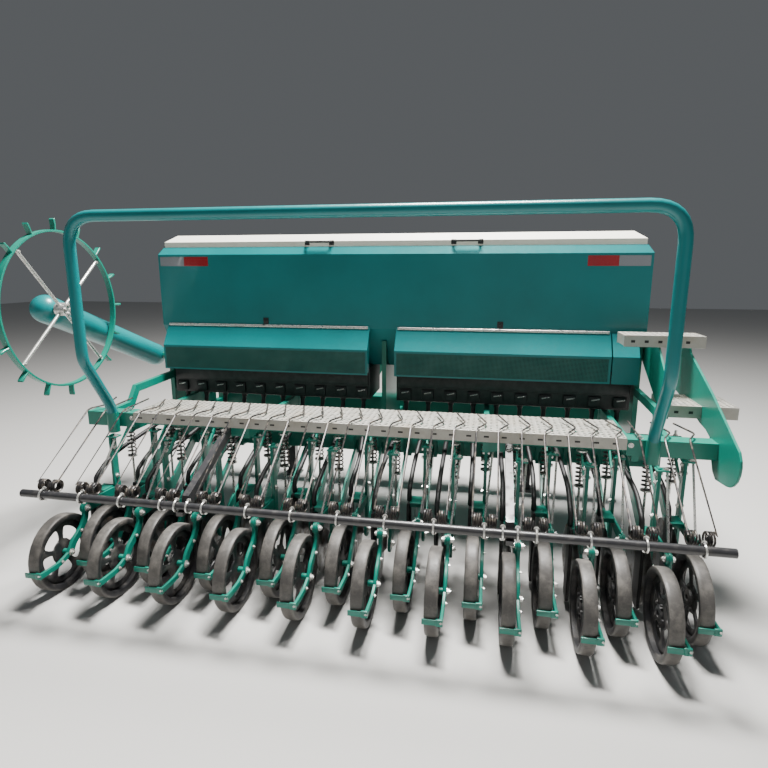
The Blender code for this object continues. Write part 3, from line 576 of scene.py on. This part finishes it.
def strip(points, width):
    """Outline of a band that follows (y, z) points, rounded at both ends."""
    line = smooth_line(points)
    sides = ([], [])
    for before, here, after in zip([line[0]] + line, line, line[1:] + [line[-1]]):
        run = (after - before).normalized()
        across = Vector((-run.y, run.x)) * width / 2
        sides[0].append(tuple(here + across))
        sides[1].append(tuple(here - across))
    first = math.degrees(math.atan2(*(line[1] - line[0]).yx))
    last = math.degrees(math.atan2(*(line[-1] - line[-2]).yx))
    head = round_end(line[0], width / 2, first + 270, first + 90, 6)[1:-1]
    tail = round_end(line[-1], width / 2, last + 90, last - 90, 6)[1:-1]
    return sides[0] + tail + sides[1][::-1] + head


def aimed(place, direction):
    """Matrix that puts local Z along the direction at the place."""
    return Matrix.Translation(place) @ Vector(direction).to_track_quat("Z", "Y").to_matrix().to_4x4()


def peg(shape, start, end, radius, sides=12, tip=None):
    """Round bar, or a cone where the tip's radius differs."""
    start, end = Vector(start), Vector(end)
    bmesh.ops.create_cone(shape, cap_ends=True, segments=sides, radius1=radius, depth=(end - start).length,
                          radius2=radius if tip is None else tip, matrix=aimed((start + end) / 2, end - start))


def hex_bolt(shape, place, direction, size):
    """Washer, hexagon head and the end of the thread."""
    place, direction = Vector(place), Vector(direction).normalized()
    peg(shape, place, place + direction * 0.0015, size * 1.45, 12)
    peg(shape, place + direction * 0.0015, place + direction * (0.0015 + size * 0.8), size, 6, size * 0.96)
    peg(shape, place + direction * size * 0.7, place + direction * size * 1.25, size * 0.45, 8)


def coil(foot, radius, wire, length, turns, steps=14):
    """Helical spring as a mesh, wound upwards from its foot."""
    matrix = aimed(foot, (0, 0, 1))
    points = []
    for step in range(turns * steps + 1):
        angle = math.tau * step / steps
        rise = length * step / (turns * steps)
        points.append(matrix @ Vector((radius * math.cos(angle), radius * math.sin(angle), rise)))
    return bent_rod("coil", points, wire, 1)


def opener_plates(toolbar_lead):
    shape = bmesh.new()
    hub = (disc_lead, hub_height)
    drag_arm = [(toolbar_lead - 0.02, toolbar_height + 0.040), (disc_lead + 0.06, 0.262)]
    drag_arm += round_end(hub, 0.044, 80, 300)
    drag_arm += [(disc_lead + 0.08, 0.195), (toolbar_lead - 0.02, toolbar_height - 0.030)]
    cut_plate(shape, drag_arm, plate_in, plate_out, 0.002)
    shank = [(0.352, 0.225), (0.398, 0.225), (0.398, 0.640), (0.390, 0.660), (0.360, 0.660), (0.352, 0.640)]
    cut_plate(shape, shank, plate_in + 0.001, plate_out + 0.002, 0.002)
    cut_plate(shape, [(0.372, eye[1] + 0.022)] + round_end(eye, 0.031, 75, 285) + [(0.372, eye[1] - 0.022)],
              plate_in + 0.002, plate_out - 0.002, 0.002)
    peg(shape, (plate_in - 0.008, *eye), (plate_out + 0.004, *eye), 0.024, 20)
    wheel_arm = strip([(0.126, 0.346), (0.120, 0.310), (0.096, 0.270), (0.064, 0.245), (0.030, 0.222),
                       (0, hub_height)], 0.038)
    cut_plate(shape, wheel_arm, plate_in - 0.001, plate_out + 0.001, 0.003)
    scraper_arm = strip([(0.004, hub_height), (-0.070, 0.160), (-0.130, 0.158), (-0.187, 0.160)], 0.026)
    cut_plate(shape, scraper_arm, plate_in, plate_out - 0.001, 0.002)
    box_piece(shape, (-0.034, -0.193, 0.148), (0.046, -0.187, 0.172), 0.0015)
    box_piece(shape, (plate_in - 0.014, -0.195, 0.146), (plate_out, -0.185, 0.176), 0.002)
    box_piece(shape, (plate_in - 0.018, toolbar_lead - 0.056, toolbar_height - 0.058),
              (plate_out + 0.018, toolbar_lead + 0.056, toolbar_height + 0.058), 0.004)
    box_piece(shape, (boot_far + 0.003, 0.275, 0.361), (plate_in + 0.004, 0.365, 0.383), 0.002)
    box_piece(shape, (plate_in - 0.006, 0.350, 0.646), (plate_out + 0.034, 0.400, 0.653), 0.0015)
    cut_plate(shape, strip([(0.385, 0.545), (0.440, 0.580), (0.520, 0.655)], 0.020), plate_in, plate_out - 0.004)
    peg(shape, (0.010, 0, hub_height), (plate_in + 0.002, 0, hub_height), 0.014, 16)
    return shape


def opener_fixings():
    shape = bmesh.new()
    hex_bolt(shape, (plate_out + 0.004, *eye), (1, 0, 0), 0.013)
    hex_bolt(shape, (plate_in - 0.008, *eye), (-1, 0, 0), 0.012)
    hex_bolt(shape, (plate_out + 0.001, 0, hub_height), (1, 0, 0), 0.012)
    hex_bolt(shape, (plate_out, disc_lead, hub_height), (1, 0, 0), 0.015)
    for height in (0.632, 0.590, 0.430):
        hex_bolt(shape, (plate_out + 0.002, 0.375, height), (1, 0, 0), 0.009)
        hex_bolt(shape, (plate_in + 0.001, 0.375, height), (-1, 0, 0), 0.009)
    hex_bolt(shape, (plate_out + 0.022, 0.368, 0.653), (0, 0, 1), 0.009)
    hex_bolt(shape, (rod_x, -0.193, 0.163), (0, -1, 0), 0.006)
    hex_bolt(shape, (plate_out, 0.080, 0.256), (1, 0, 0), 0.007)
    hex_bolt(shape, (plate_out, -0.060, 0.163), (1, 0, 0), 0.006)
    peg(shape, (0.076, 0.362, 0.649), (0.050, 0.170, 0.385), 0.0055, 10)
    peg(shape, (rod_x, spring_lead, 0.290), (rod_x, spring_lead, press_beam_top + 0.030), 0.0065, 10)
    for height in (0.486, 0.664):
        peg(shape, (rod_x, spring_lead, height), (rod_x, spring_lead, height + 0.006), 0.026, 16)
    hex_bolt(shape, (rod_x, spring_lead, press_beam_top), (0, 0, 1), 0.011)
    return shape


def opener_black():
    shape = bmesh.new()
    boot = [(0.258, 0.384), (0.244, 0.300), (0.240, 0.120)] + round_end((0.262, 0.054), 0.022, 190, 270, 4)
    cut_plate(shape, boot + [(0.320, 0.040), (0.334, 0.080), (0.334, 0.384)], boot_far, boot_near, 0.003)
    return shape


def row_copies(name, templates, material):
    """One piece made of a template for each row."""
    shape = bmesh.new()
    for row, body in enumerate(rows):
        copy = templates[row % 2].copy()
        axle = joint_place(f"{body}_spin")
        copy.transform(Matrix.Translation((axle.x, axle.y, 0)))
        shape.from_mesh(copy)
        bpy.data.meshes.remove(copy)
    finished(name, shape, material, "frame", smooth=True)


rear_axle = joint_place("press_wheel_01_spin")
front_axle = joint_place("press_wheel_02_spin")
toolbar_y = rear_axle.y + 0.995
plates = [as_mesh(opener_plates(toolbar_y - axle.y)) for axle in (rear_axle, front_axle)]
row_copies("opener_plates", plates, green_paint)
row_copies("opener_fixings", [as_mesh(opener_fixings())] * 2, zinc)
row_copies("opener_boots", [as_mesh(opener_black())] * 2, black_plastic_and_slot_shade)
springs = [coil((rod_x, spring_lead, 0.494), 0.021, 0.0036, 0.168, 8)] * 2
row_copies("pressure_springs", springs, spring_steel)
gang_low, gang_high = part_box("opener_gang")
bars = bmesh.new()
box_piece(bars, (gang_low.x + 0.035, toolbar_y - toolbar_half, toolbar_height - toolbar_half),
          (gang_high.x, toolbar_y + toolbar_half, toolbar_height + toolbar_half), 0.005)
for axle, last in ((rear_axle, 19), (front_axle, 20)):
    end = joint_place(f"press_wheel_{last:02d}_spin").x + 0.076
    box_piece(bars, (axle.x, axle.y + spring_lead - press_beam_half, press_beam_top - 2 * press_beam_half),
              (end, axle.y + spring_lead + press_beam_half, press_beam_top), 0.004)
toolbar = finished("toolbar_and_beams", bars, green_paint, "frame", smooth=True)
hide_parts("opener_gang")

# ---- Metering covers ---------------------------------------------------------
# Bent teal sheet with a perforated lower panel, hung on a plated sleeve along the
# hopper. A black catch on the wall holds it open. The right end is the drive case.
mesh_pitch = 0.0065
panel_margin = 0.012
eave_rise = 0.140
wall = hopper_low.y

perforated, shader, place = finish_on("perforated_teal_sheet")
cell_x = place.node("ShaderNodeMath", {0: place.part("X") * (1 / mesh_pitch)}, operation="FRACT") - 0.5
cell_z = place.node("ShaderNodeMath", {0: place.part("Z") * (1 / mesh_pitch)}, operation="FRACT") - 0.5
# The holes are not cut: each is a dot painted near-black, as painted shade in place of the view through it.
shaded_hole = (cell_x * cell_x + cell_z * cell_z).limited(0.08, 0.12, 1.0, 0.0)
patch = place.noise(7, 3).limited(0.35, 0.7)
sheet = patch.mixed((0.0, 0.115, 0.10), (0.03, 0.16, 0.14))
feed(shader, Base_Color=shaded_hole.mixed(sheet, (0.004, 0.006, 0.008)), Roughness=shaded_hole * 0.4 + 0.42,
     Normal=bumped(place, 1 - shaded_hole, 0.5, 0.0008))
for node in ("metering_cover_left", "metering_cover_right"):
    coat(node, teal_paint)
    low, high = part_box(node)
    middle = (low.x + high.x) / 2
    panel = bmesh.new()
    box_piece(panel, (low.x + panel_margin, low.y - 0.0010, low.z + 0.010),
              (high.x - panel_margin, low.y - 0.0002, low.z + eave_rise - panel_margin))
    finished(f"{node}_mesh", panel, perforated, node)
    hinge = joint_place(f"{node}_hinge")
    catch = bmesh.new()
    box_piece(catch, (middle - 0.015, wall - 0.0050, hinge.z + 0.011),
              (middle + 0.015, wall - 0.0004, hinge.z + 0.046), 0.0015)
    peg(catch, (middle, wall - 0.0045, hinge.z + 0.034), (middle, wall - 0.0150, hinge.z + 0.036),
        0.0085, 14, 0.0070)
    finished(f"{node}_catch", catch, black_plastic_and_slot_shade, "frame", smooth=True)
    sleeve = bmesh.new()
    peg(sleeve, (low.x + 0.008, hinge.y, hinge.z), (high.x - 0.008, hinge.y, hinge.z), 0.0084, 20)
    finished(f"{node}_hinge_sleeve", sleeve, zinc, node, smooth=True)

cover_low, cover_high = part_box("metering_cover_right")
case_x = cover_high.x + 0.006
eave = cover_low.z + eave_rise
outside, inside = cover_low.y - 0.0006, cover_low.y + 0.002
case = bmesh.new()
cut_plate(case, [(wall - 0.0085, cover_high.z - 0.011), (outside, eave), (outside, cover_low.z),
                 (inside, cover_low.z), (inside, eave - 0.001), (wall - 0.0086, cover_high.z - 0.014)],
          case_x + 0.0005, case_x + 0.128, 0)
finished("drive_case_skin", case, teal_paint, "frame")

# ---- Metering rows and seed tubes --------------------------------------------
# Black moulded metering housings under the hopper, ten outlets to each, with a
# plated clip on every shutter and a rubber tube from each outlet to its opener.
outlet_y = wall + 0.050
tube_radius = 0.012

for side, first in (("left", 0), ("right", 10)):
    node = f"metering_row_{side}"
    body_low = hopper_low.x + 0.050 if side == "left" else hopper_low.x + 1.410
    body_high = hopper_low.x + 1.260 if side == "left" else hopper_high.x - 0.050
    floor_z = hopper_low.z - 0.185
    top_z = hopper_low.z - 0.0003
    spacing = (body_high - body_low - 0.100) / 9
    housing = bmesh.new()
    box_piece(housing, (body_low, wall + 0.002, floor_z), (body_high, wall + 0.290, top_z), 0.006)
    box_piece(housing, (body_low + 0.010, wall - 0.010, floor_z + 0.080),
              (body_high - 0.010, wall + 0.010, top_z - 0.020), 0.006)
    clips = bmesh.new()
    for outlet in range(10):
        x = body_low + 0.050 + spacing * outlet
        row = first + outlet
        axle = joint_place(f"press_wheel_{row + 1:02d}_spin")
        boot_x = axle.x + (boot_near + boot_far) / 2
        box_piece(housing, (x - 0.034, wall - 0.0095, floor_z + 0.012),
                  (x + 0.034, wall + 0.012, floor_z + 0.070), 0.006)
        peg(housing, (x, outlet_y, floor_z + 0.004), (x, outlet_y, floor_z - 0.022), 0.020, 16, 0.015)
        way = [(x, outlet_y, floor_z - 0.002), (x, outlet_y - 0.008, 0.740), (x, outlet_y - 0.045, 0.680),
               (x + (boot_x - x) * 0.6, outlet_y - 0.140, 0.610), (boot_x, axle.y + disc_lead + 0.120, 0.520),
               (boot_x, axle.y + disc_lead - 0.040, 0.455), (boot_x, axle.y + disc_lead - 0.068, 0.420),
               (boot_x, axle.y + disc_lead - 0.068, 0.3855)]
        housing.from_mesh(bent_rod("seed_tube", smooth_line(way, 5), tube_radius, 3))
        peg(clips, (x - 0.018, wall - 0.013, floor_z + 0.050), (x + 0.022, wall - 0.013, floor_z + 0.058),
            0.0035, 8)
    rows_made = finished(node.replace("row", "housing"), housing, black_plastic_and_slot_shade, "frame",
                         smooth=True)
    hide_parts(node)
    finished(node.replace("row", "clips"), clips, zinc, "frame", smooth=True)

# ---- Walkway -----------------------------------------------------------------
# Galvanised channel, its top punched with rows of round holes for grip, its rear
# flange slotted, bolted across the arms between two green end brackets.
walk_low, walk_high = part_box("walkway")
sheet_gauge = 0.0025
punch_pitch = 0.026
slot_pitch = 0.076

galvanised, shader, place = finish_on("galvanised_sheet")
spangle = place.node("ShaderNodeTexVoronoi", {"Vector": place, "Scale": 90}, output="Color").part("X")
stain = place.noise(9, 5, 0.6).limited(0.48, 0.78)
feed(shader, Base_Color=(stain * 0.7).mixed((0.44, 0.43, 0.39), (0.33, 0.28, 0.20)), Metallic=0.60 - stain * 0.3,
     Roughness=spangle * 0.22 + 0.36, Normal=bumped(place, spangle, 0.08, 0.0005))


def punched_sheet(low, high, pitch, part):
    """Flat level sheet with round holes at the pitch, before it has its gauge."""
    shape = bmesh.new()
    length, depth = high[0] - low[0], high[1] - low[1]
    bmesh.ops.create_grid(shape, x_segments=round(length / pitch), y_segments=round(depth / pitch), size=0.5)
    bmesh.ops.scale(shape, verts=shape.verts, vec=(length, depth, 1))
    bmesh.ops.translate(shape, verts=shape.verts, vec=((low[0] + high[0]) / 2, (low[1] + high[1]) / 2, high[2]))
    cells = list(shape.faces)
    bmesh.ops.inset_individual(shape, faces=cells, thickness=pitch * part, use_even_offset=True)
    bmesh.ops.translate(shape, verts=list({vert for cell in cells for vert in cell.verts}), vec=(0, 0, 0.0016))
    bmesh.ops.delete(shape, geom=cells, context="FACES")
    return shape


def with_gauge(shape, gauge):
    """The sheet as a mesh with rounded holes and real thickness below its top face."""
    sheet = bare_mesh("sheet", shape)
    soft = sheet.modifiers.new("round_holes", "SUBSURF")
    soft.levels = soft.render_levels = 1
    soft.boundary_smooth = "PRESERVE_CORNERS"
    wall = sheet.modifiers.new("gauge", "SOLIDIFY")
    wall.thickness = gauge
    wall.offset = -1
    mesh = bpy.data.meshes.new_from_object(sheet.evaluated_get(bpy.context.evaluated_depsgraph_get()))
    bpy.data.objects.remove(sheet)
    return mesh


deck = bmesh.new()
deck.from_mesh(with_gauge(punched_sheet(walk_low, walk_high, punch_pitch, 0.21), sheet_gauge))
for y in (walk_low.y, walk_high.y - sheet_gauge):
    box_piece(deck, (walk_low.x, y, walk_low.z), (walk_high.x, y + sheet_gauge, walk_high.z - 0.0005), 0.0008)
walkway = finished("walkway_deck", deck, galvanised, "frame")
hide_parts("walkway")
# Each slot is a thin black piece on the rear flange: painted shade in place of an opening.
slots = bmesh.new()
slot_count = int((walk_high.x - walk_low.x) / slot_pitch)
for number in range(slot_count):
    x = walk_low.x + slot_pitch * (number + 0.5)
    box_piece(slots, (x - 0.011, walk_low.y - 0.0006, walk_low.z + 0.021),
              (x + 0.011, walk_low.y - 0.0001, walk_low.z + 0.029))
finished("walkway_slots", slots, black_plastic_and_slot_shade, "frame")

bolts = bmesh.new()
for side in (-1, 1):
    end = walk_low.x if side < 0 else walk_high.x
    low_x, high_x = sorted((end + side * 0.002, end + side * 0.110))
    for y in (walk_low.y + 0.030, walk_low.y + 0.065):
        hex_bolt(bolts, ((low_x + high_x) / 2, y, walk_high.z - 0.0048), (0, 0, 1), 0.010)
    for x in (low_x + 0.015, high_x - 0.010):
        hex_bolt(bolts, (x, walk_low.y + 0.0053, walk_high.z - 0.030), (0, -1, 0), 0.008)
    for y in (walk_low.y + 0.120, walk_low.y + 0.200):
        hex_bolt(bolts, (end - side * 0.040, y, walk_high.z), (0, 0, 1), 0.009)
finished("walkway_bolts", bolts, zinc, "frame", smooth=True)

# ---- Guard rail --------------------------------------------------------------
# One length of round tube, bent and painted teal, in a socket bolted to each end
# of the walkway.
rail_low, rail_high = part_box("guard_rail")
rail_radius = 0.0245
rail_lean = 0.0175
rail_bend = 0.130

rail_corners = []
for side in (-1, 1):
    foot_x = rail_low.x + rail_radius if side < 0 else rail_high.x - rail_radius
    x = foot_x - side * rail_lean
    foot_y = walk_low.y + 0.0052 - rail_radius
    upper_y = rail_low.y + rail_radius
    top_z = rail_high.z - rail_radius
    post = [(foot_x, foot_y, rail_low.z), (foot_x, foot_y, 0.850), (x, upper_y + 0.004, 1.110),
            (x, upper_y, 1.160), (x, upper_y, top_z)]
    rail_corners += post if side < 0 else post[::-1]
rail_line = rounded_path(rail_corners, rail_bend, 8)
rail = bmesh.new()
rail.from_mesh(bent_rod("rail", rail_line, rail_radius, 8))
rail_piece = finished("rail_tube", rail, teal_paint, "frame", smooth=True)
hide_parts("guard_rail")
sockets = bmesh.new()
for x in (rail_low.x + rail_radius, rail_high.x - rail_radius):
    spun(sockets, [(0, rail_radius + 0.0003, 0), (0, rail_radius + 0.0035, 0), (0, rail_radius + 0.0035, 0.100),
                   (0, rail_radius + 0.0003, 0.100)], (0, 0, 1), 24)
    fresh = list(sockets.verts)[-96:]
    bmesh.ops.translate(sockets, verts=fresh, vec=(x, foot_y, rail_low.z))
finished("rail_sockets", sockets, green_paint, "frame", smooth=True)

# ---- Following harrow --------------------------------------------------------
# A painted tube that carries fifteen double tines of sprung wire, each held by a
# plated U-bolt, folded forward so that the tine tips rest over the walkway.
harrow = joint_place("harrow_fold")
harrow_low, harrow_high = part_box("harrow_bar")
harrow_radius = 0.017
tine_wire = 0.0045
tine_units = 15
tine_pitch = 0.190
tine_spread = 0.0475
tine_kink = 0.045
coil_radius = 0.0240
coil_rise = 0.024
coil_forward = 0.048
coil_turns = 4
coil_steps = 14
coil_pitch = 0.0092

graphite, shader, place = finish_on("graphite_paint")
wear = place.noise(30, 5, 0.65).limited(0.5, 0.75)
feed(shader, Base_Color=(wear * 0.6).mixed((0.026, 0.026, 0.029), (0.080, 0.072, 0.062)),
     Roughness=wear * 0.3 + 0.36, Coat_Weight=0.2, Normal=bumped(place, place.noise(260, 3), 0.15, 0.0006))
bar = bmesh.new()
peg(bar, (harrow_low.x, harrow.y, harrow.z), (harrow_high.x, harrow.y, harrow.z), harrow_radius, 32)
harrow_piece = finished("harrow_tube", bar, graphite, "harrow", smooth=True)
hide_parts("harrow_bar")
tines = bmesh.new()
hoops = bmesh.new()
post_x = (rail_low.x + rail_radius + rail_lean, rail_high.x - rail_radius - rail_lean)
middle_x = (harrow_low.x + harrow_high.x) / 2


def hoop(shape, x, reach):
    """U-bolt round the tube from behind, with its two nuts in front."""
    bend = [(x, harrow.y + y, harrow.z + z) for y, z in round_end((0, 0), harrow_radius + 0.0055, 90, 270, 10)]
    top, foot = (x, harrow.y + reach, bend[0][2]), (x, harrow.y + reach, bend[-1][2])
    shape.from_mesh(bent_rod("hoop", [top] + bend + [foot], 0.0042, 2))
    for end in (top, foot):
        hex_bolt(shape, (end[0], end[1] - 0.004, end[2]), (0, 1, 0), 0.0075)


rest_y = walk_low.y - 0.010
rest_z = walk_high.z + 0.008 + tine_wire
coil_middle = Vector((0, harrow.y + coil_forward, harrow.z + coil_rise))
rise = (Vector((0, rest_y, rest_z)) - coil_middle).normalized()
back = Vector((0, -rise.z, rise.y)) * coil_radius
for unit in range(tine_units):
    x = middle_x + (unit - (tine_units - 1) / 2) * tine_pitch
    hoop(hoops, x, 0.016)
    for side in (-1, 1):
        leg_x = x + side * tine_spread
        gap = min(abs(leg_x + aside - post) for aside in (0, tine_kink) for post in post_x)
        kink = 0 if gap < rail_radius + 0.020 else tine_kink
        leg = rounded_path([coil_middle + Vector((leg_x, 0, 0)) + back, (leg_x, rest_y, rest_z),
                            (leg_x + kink, walk_low.y + 0.070, rest_z + 0.004),
                            (leg_x, harrow_high.y, rest_z + 0.009)], 0.020, 4)
        winding = []
        for step in range(1, coil_turns * coil_steps + 1):
            turned = Matrix.Rotation(-math.tau * step / coil_steps, 3, "X") @ back
            along = Vector((leg_x - side * coil_pitch * step / coil_steps, 0, 0))
            winding.append(coil_middle + along + turned)
        hook = Vector((x + side * 0.003, harrow.y - 0.004, harrow.z - harrow_radius - tine_wire))
        tines.from_mesh(bent_rod("tine", leg[::-1] + winding + [hook], tine_wire * 0.9, 1))
finished("harrow_tines", tines, spring_steel, "harrow", smooth=True)
finished("harrow_u_bolts", hoops, zinc, "harrow", smooth=True)
clamps = bmesh.new()
for node in ("harrow_strut_left", "harrow_strut_right"):
    coat(node, graphite)
    low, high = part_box(node)
    for x in (low.x - 0.012, high.x + 0.012):
        hoop(clamps, x, 0.012)
    for height in (high.z - 0.010, high.z - 0.028):
        hex_bolt(clamps, ((low.x + high.x) / 2, high.y - 0.050, height + 0.003), (0, 0, 1), 0.007)
finished("strut_clamps", clamps, zinc, "frame", smooth=True)

# ---- Ground drive wheel and its arm ------------------------------------------
# A thin steel ring with spade lugs that turns the metering shafts when it is let
# down. Its arm is a round tube with domed ends, which carries the chain.
hub = joint_place("drive_wheel_spin")
pivot = joint_place("drive_arm_lift")
wheel_low, wheel_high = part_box("drive_wheel")
ring_radius = 0.394
lug_reach = (wheel_high.z - wheel_low.z) / 2
lugs = 16
arm_radius = 0.074

ring = bmesh.new()
spun(ring, [(-0.015, 0, ring_radius - 0.005), (-0.016, 0, ring_radius), (-0.015, 0, ring_radius + 0.005),
            (0.015, 0, ring_radius + 0.005), (0.016, 0, ring_radius), (0.015, 0, ring_radius - 0.005)],
     (1, 0, 0), 72)
spade_edge = [(-0.004, ring_radius - 0.004), (0.004, ring_radius - 0.004), (0.007, ring_radius + 0.035),
              (0.006, lug_reach - 0.006), (0.001, lug_reach - 0.001), (-0.005, lug_reach - 0.006),
              (-0.003, ring_radius + 0.030)]
for lug in range(lugs):
    spade = bmesh.new()
    cut_plate(spade, spade_edge, -0.015, 0.015, 0.002)
    spade.transform(Matrix.Rotation(math.tau * lug / lugs, 4, "X"))
    ring.from_mesh(as_mesh(spade))
ring.transform(Matrix.Translation(hub))
ring_piece = finished("drive_ring", ring, green_paint, "drive_wheel", smooth=True)
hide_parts("drive_wheel")
spokes = bmesh.new()
for spoke in range(4):
    angle = math.radians(40 + 90 * spoke)
    run = Vector((0, math.cos(angle), math.sin(angle)))
    peg(spokes, hub + run * 0.020, hub + run * (ring_radius - 0.004), 0.0085, 14)
    hex_bolt(spokes, hub + run * (ring_radius - 0.022) + Vector((0.008, 0, 0)), (1, 0, 0), 0.006)
peg(spokes, hub + Vector((-0.0245, 0, 0)), hub + Vector((0.034, 0, 0)), 0.034, 24)
for corner in range(4):
    angle = math.radians(85 + 90 * corner)
    hex_bolt(spokes, hub + Vector((0.0335, 0.022 * math.cos(angle), 0.022 * math.sin(angle))), (1, 0, 0), 0.008)
finished("drive_spokes", spokes, zinc, "drive_wheel", smooth=True)

arm_x = pivot.x - arm_radius
start, end = Vector((arm_x, pivot.y, pivot.z)), Vector((arm_x, hub.y, hub.z))
length = (end - start).length
quarter = [math.radians(angle) for angle in range(0, 91, 9)]
case = bmesh.new()
profile = [(0, math.sin(angle) * arm_radius, -math.cos(angle) * arm_radius) for angle in quarter]
profile += [(0, arm_radius, length * 0.03), (0, arm_radius - 0.0015, length * 0.034),
            (0, arm_radius - 0.0015, length * 0.93), (0, arm_radius, length * 0.934)]
profile += [(0, math.cos(angle) * arm_radius, length + math.sin(angle) * arm_radius) for angle in quarter]
line = [case.verts.new(point) for point in profile]
edges = [case.edges.new(pair) for pair in zip(line, line[1:])]
bmesh.ops.spin(case, geom=line + edges, cent=(0, 0, 0), axis=(0, 0, 1), angle=math.tau, steps=40,
               use_merge=True)
bmesh.ops.remove_doubles(case, verts=case.verts, dist=0.00002)
case.transform(aimed(start, end - start))
arm_piece = finished("drive_arm_tube", case, teal_paint, "drive_arm", smooth=True)
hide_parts("drive_arm")

# ---- Access steps ------------------------------------------------------------
# Two green side plates carry galvanised treads with punched faces and slotted
# flanges. The outer plate is cut from one sheet, rounded at its lower end.
step_gauge = 0.003
step_height = 0.055
base_y = hopper_low.y - 1.050
outer_x = hopper_low.x + 2.845
inner_x = hopper_high.x + 0.0006

outer = [(1.110, 1.206), (0.910, 1.206), (0.847, 1.128), (0.549, 1.003), (0.363, 0.912), (0.228, 0.845),
         (0.206, 0.815), (0.200, 0.790), (0.203, 0.760), (0.216, 0.730), (0.240, 0.705), (0.268, 0.688),
         (0.300, 0.680), (0.404, 0.668), (0.440, 0.690), (0.462, 0.724), (0.484, 0.785), (0.512, 0.818),
         (0.560, 0.835), (0.635, 0.845), (0.773, 0.880), (1.035, 0.925), (1.085, 0.950), (1.110, 0.990)]
inner = [(1.140, 1.202), (0.900, 1.202), (0.640, 1.000), (0.620, 0.860), (0.720, 0.860), (1.140, 1.070)]
sides = bmesh.new()
cut_plate(sides, [(base_y + y, z) for y, z in outer], outer_x, outer_x + 0.010, 0.0015)
cut_plate(sides, [(base_y + y, z) for y, z in inner], inner_x, inner_x + 0.010, 0.0015)
step_sides = finished("step_side_plates", sides, green_paint, "frame")
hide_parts("access_steps")
treads = (("upper", hopper_low.x + 2.540, hopper_low.x + 2.898, base_y + 0.812, 0.150, 1.210),
          ("lower", inner_x + 0.001, hopper_low.x + 2.995, base_y + 0.625, 0.250, 0.922))
for name, low_x, high_x, rear, depth, top in treads:
    punched = punched_sheet((low_x, rear, top), (high_x, rear + depth, top), 0.025, 0.24)
    tread = bmesh.new()
    tread.from_mesh(with_gauge(punched, step_gauge))
    foot = top - step_height
    for y in (rear, rear + depth - step_gauge):
        box_piece(tread, (low_x, y, foot), (high_x, y + step_gauge, top - 0.0005), 0.0008)
    for x in (low_x, high_x - step_gauge):
        box_piece(tread, (x, rear + 0.001, foot + 0.004),
                  (x + step_gauge, rear + depth - 0.001, top - 0.0006), 0.0008)
    finished(f"tread_{name}", tread, galvanised, "frame")
    # Each slot is a thin black piece on the tread's rear flange: painted shade in place of an opening.
    holes = bmesh.new()
    x = low_x + 0.040
    while x < high_x - 0.030:
        box_piece(holes, (x - 0.009, rear - 0.0007, foot + 0.020), (x + 0.009, rear - 0.0002, foot + 0.032))
        x += 0.060
    finished(f"tread_{name}_slots", holes, black_plastic_and_slot_shade, "frame")
step_bolts = bmesh.new()
for y, z in ((0.245, 0.790), (0.350, 0.725), (0.700, 0.950), (0.800, 0.950), (0.930, 1.130), (0.450, 0.800)):
    hex_bolt(step_bolts, (outer_x + 0.0102, base_y + y, z), (1, 0, 0), 0.010)
finished("step_bolts", step_bolts, zinc, "frame", smooth=True)

# ---- Hitch and parking stands ------------------------------------------------
# Welded hitch tower with plated pins, and two square legs on foot plates that
# slide in sleeves on the front beam, each held by a cross pin.
head_low, head_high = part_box("headstock")
pins = bmesh.new()
for x in (head_low.x + 0.060, head_high.x - 0.060):
    link = Vector((x, head_high.y - 0.035, 0.520))
    peg(pins, link - Vector((0.075, 0, 0)), link + Vector((0.075, 0, 0)), 0.0142, 20)
    peg(pins, link + Vector((0.066, 0, -0.020)), link + Vector((0.066, 0, 0.024)), 0.003, 8)
top_pin = Vector(((head_low.x + head_high.x) / 2, head_high.y - 0.040, 1.130))
peg(pins, top_pin - Vector((0.072, 0, 0)), top_pin + Vector((0.072, 0, 0)), 0.0125, 20)
for node in ("parking_stand_left", "parking_stand_right"):
    coat(node, graphite)
    low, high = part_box(node)
    stand_pin = Vector(((low.x + high.x) / 2, (low.y + high.y) / 2, 0.610))
    peg(pins, stand_pin - Vector((0.050, 0, 0)), stand_pin + Vector((0.056, 0, 0)), 0.007, 12)
finished("hitch_and_stand_pins", pins, zinc, "frame", smooth=True)
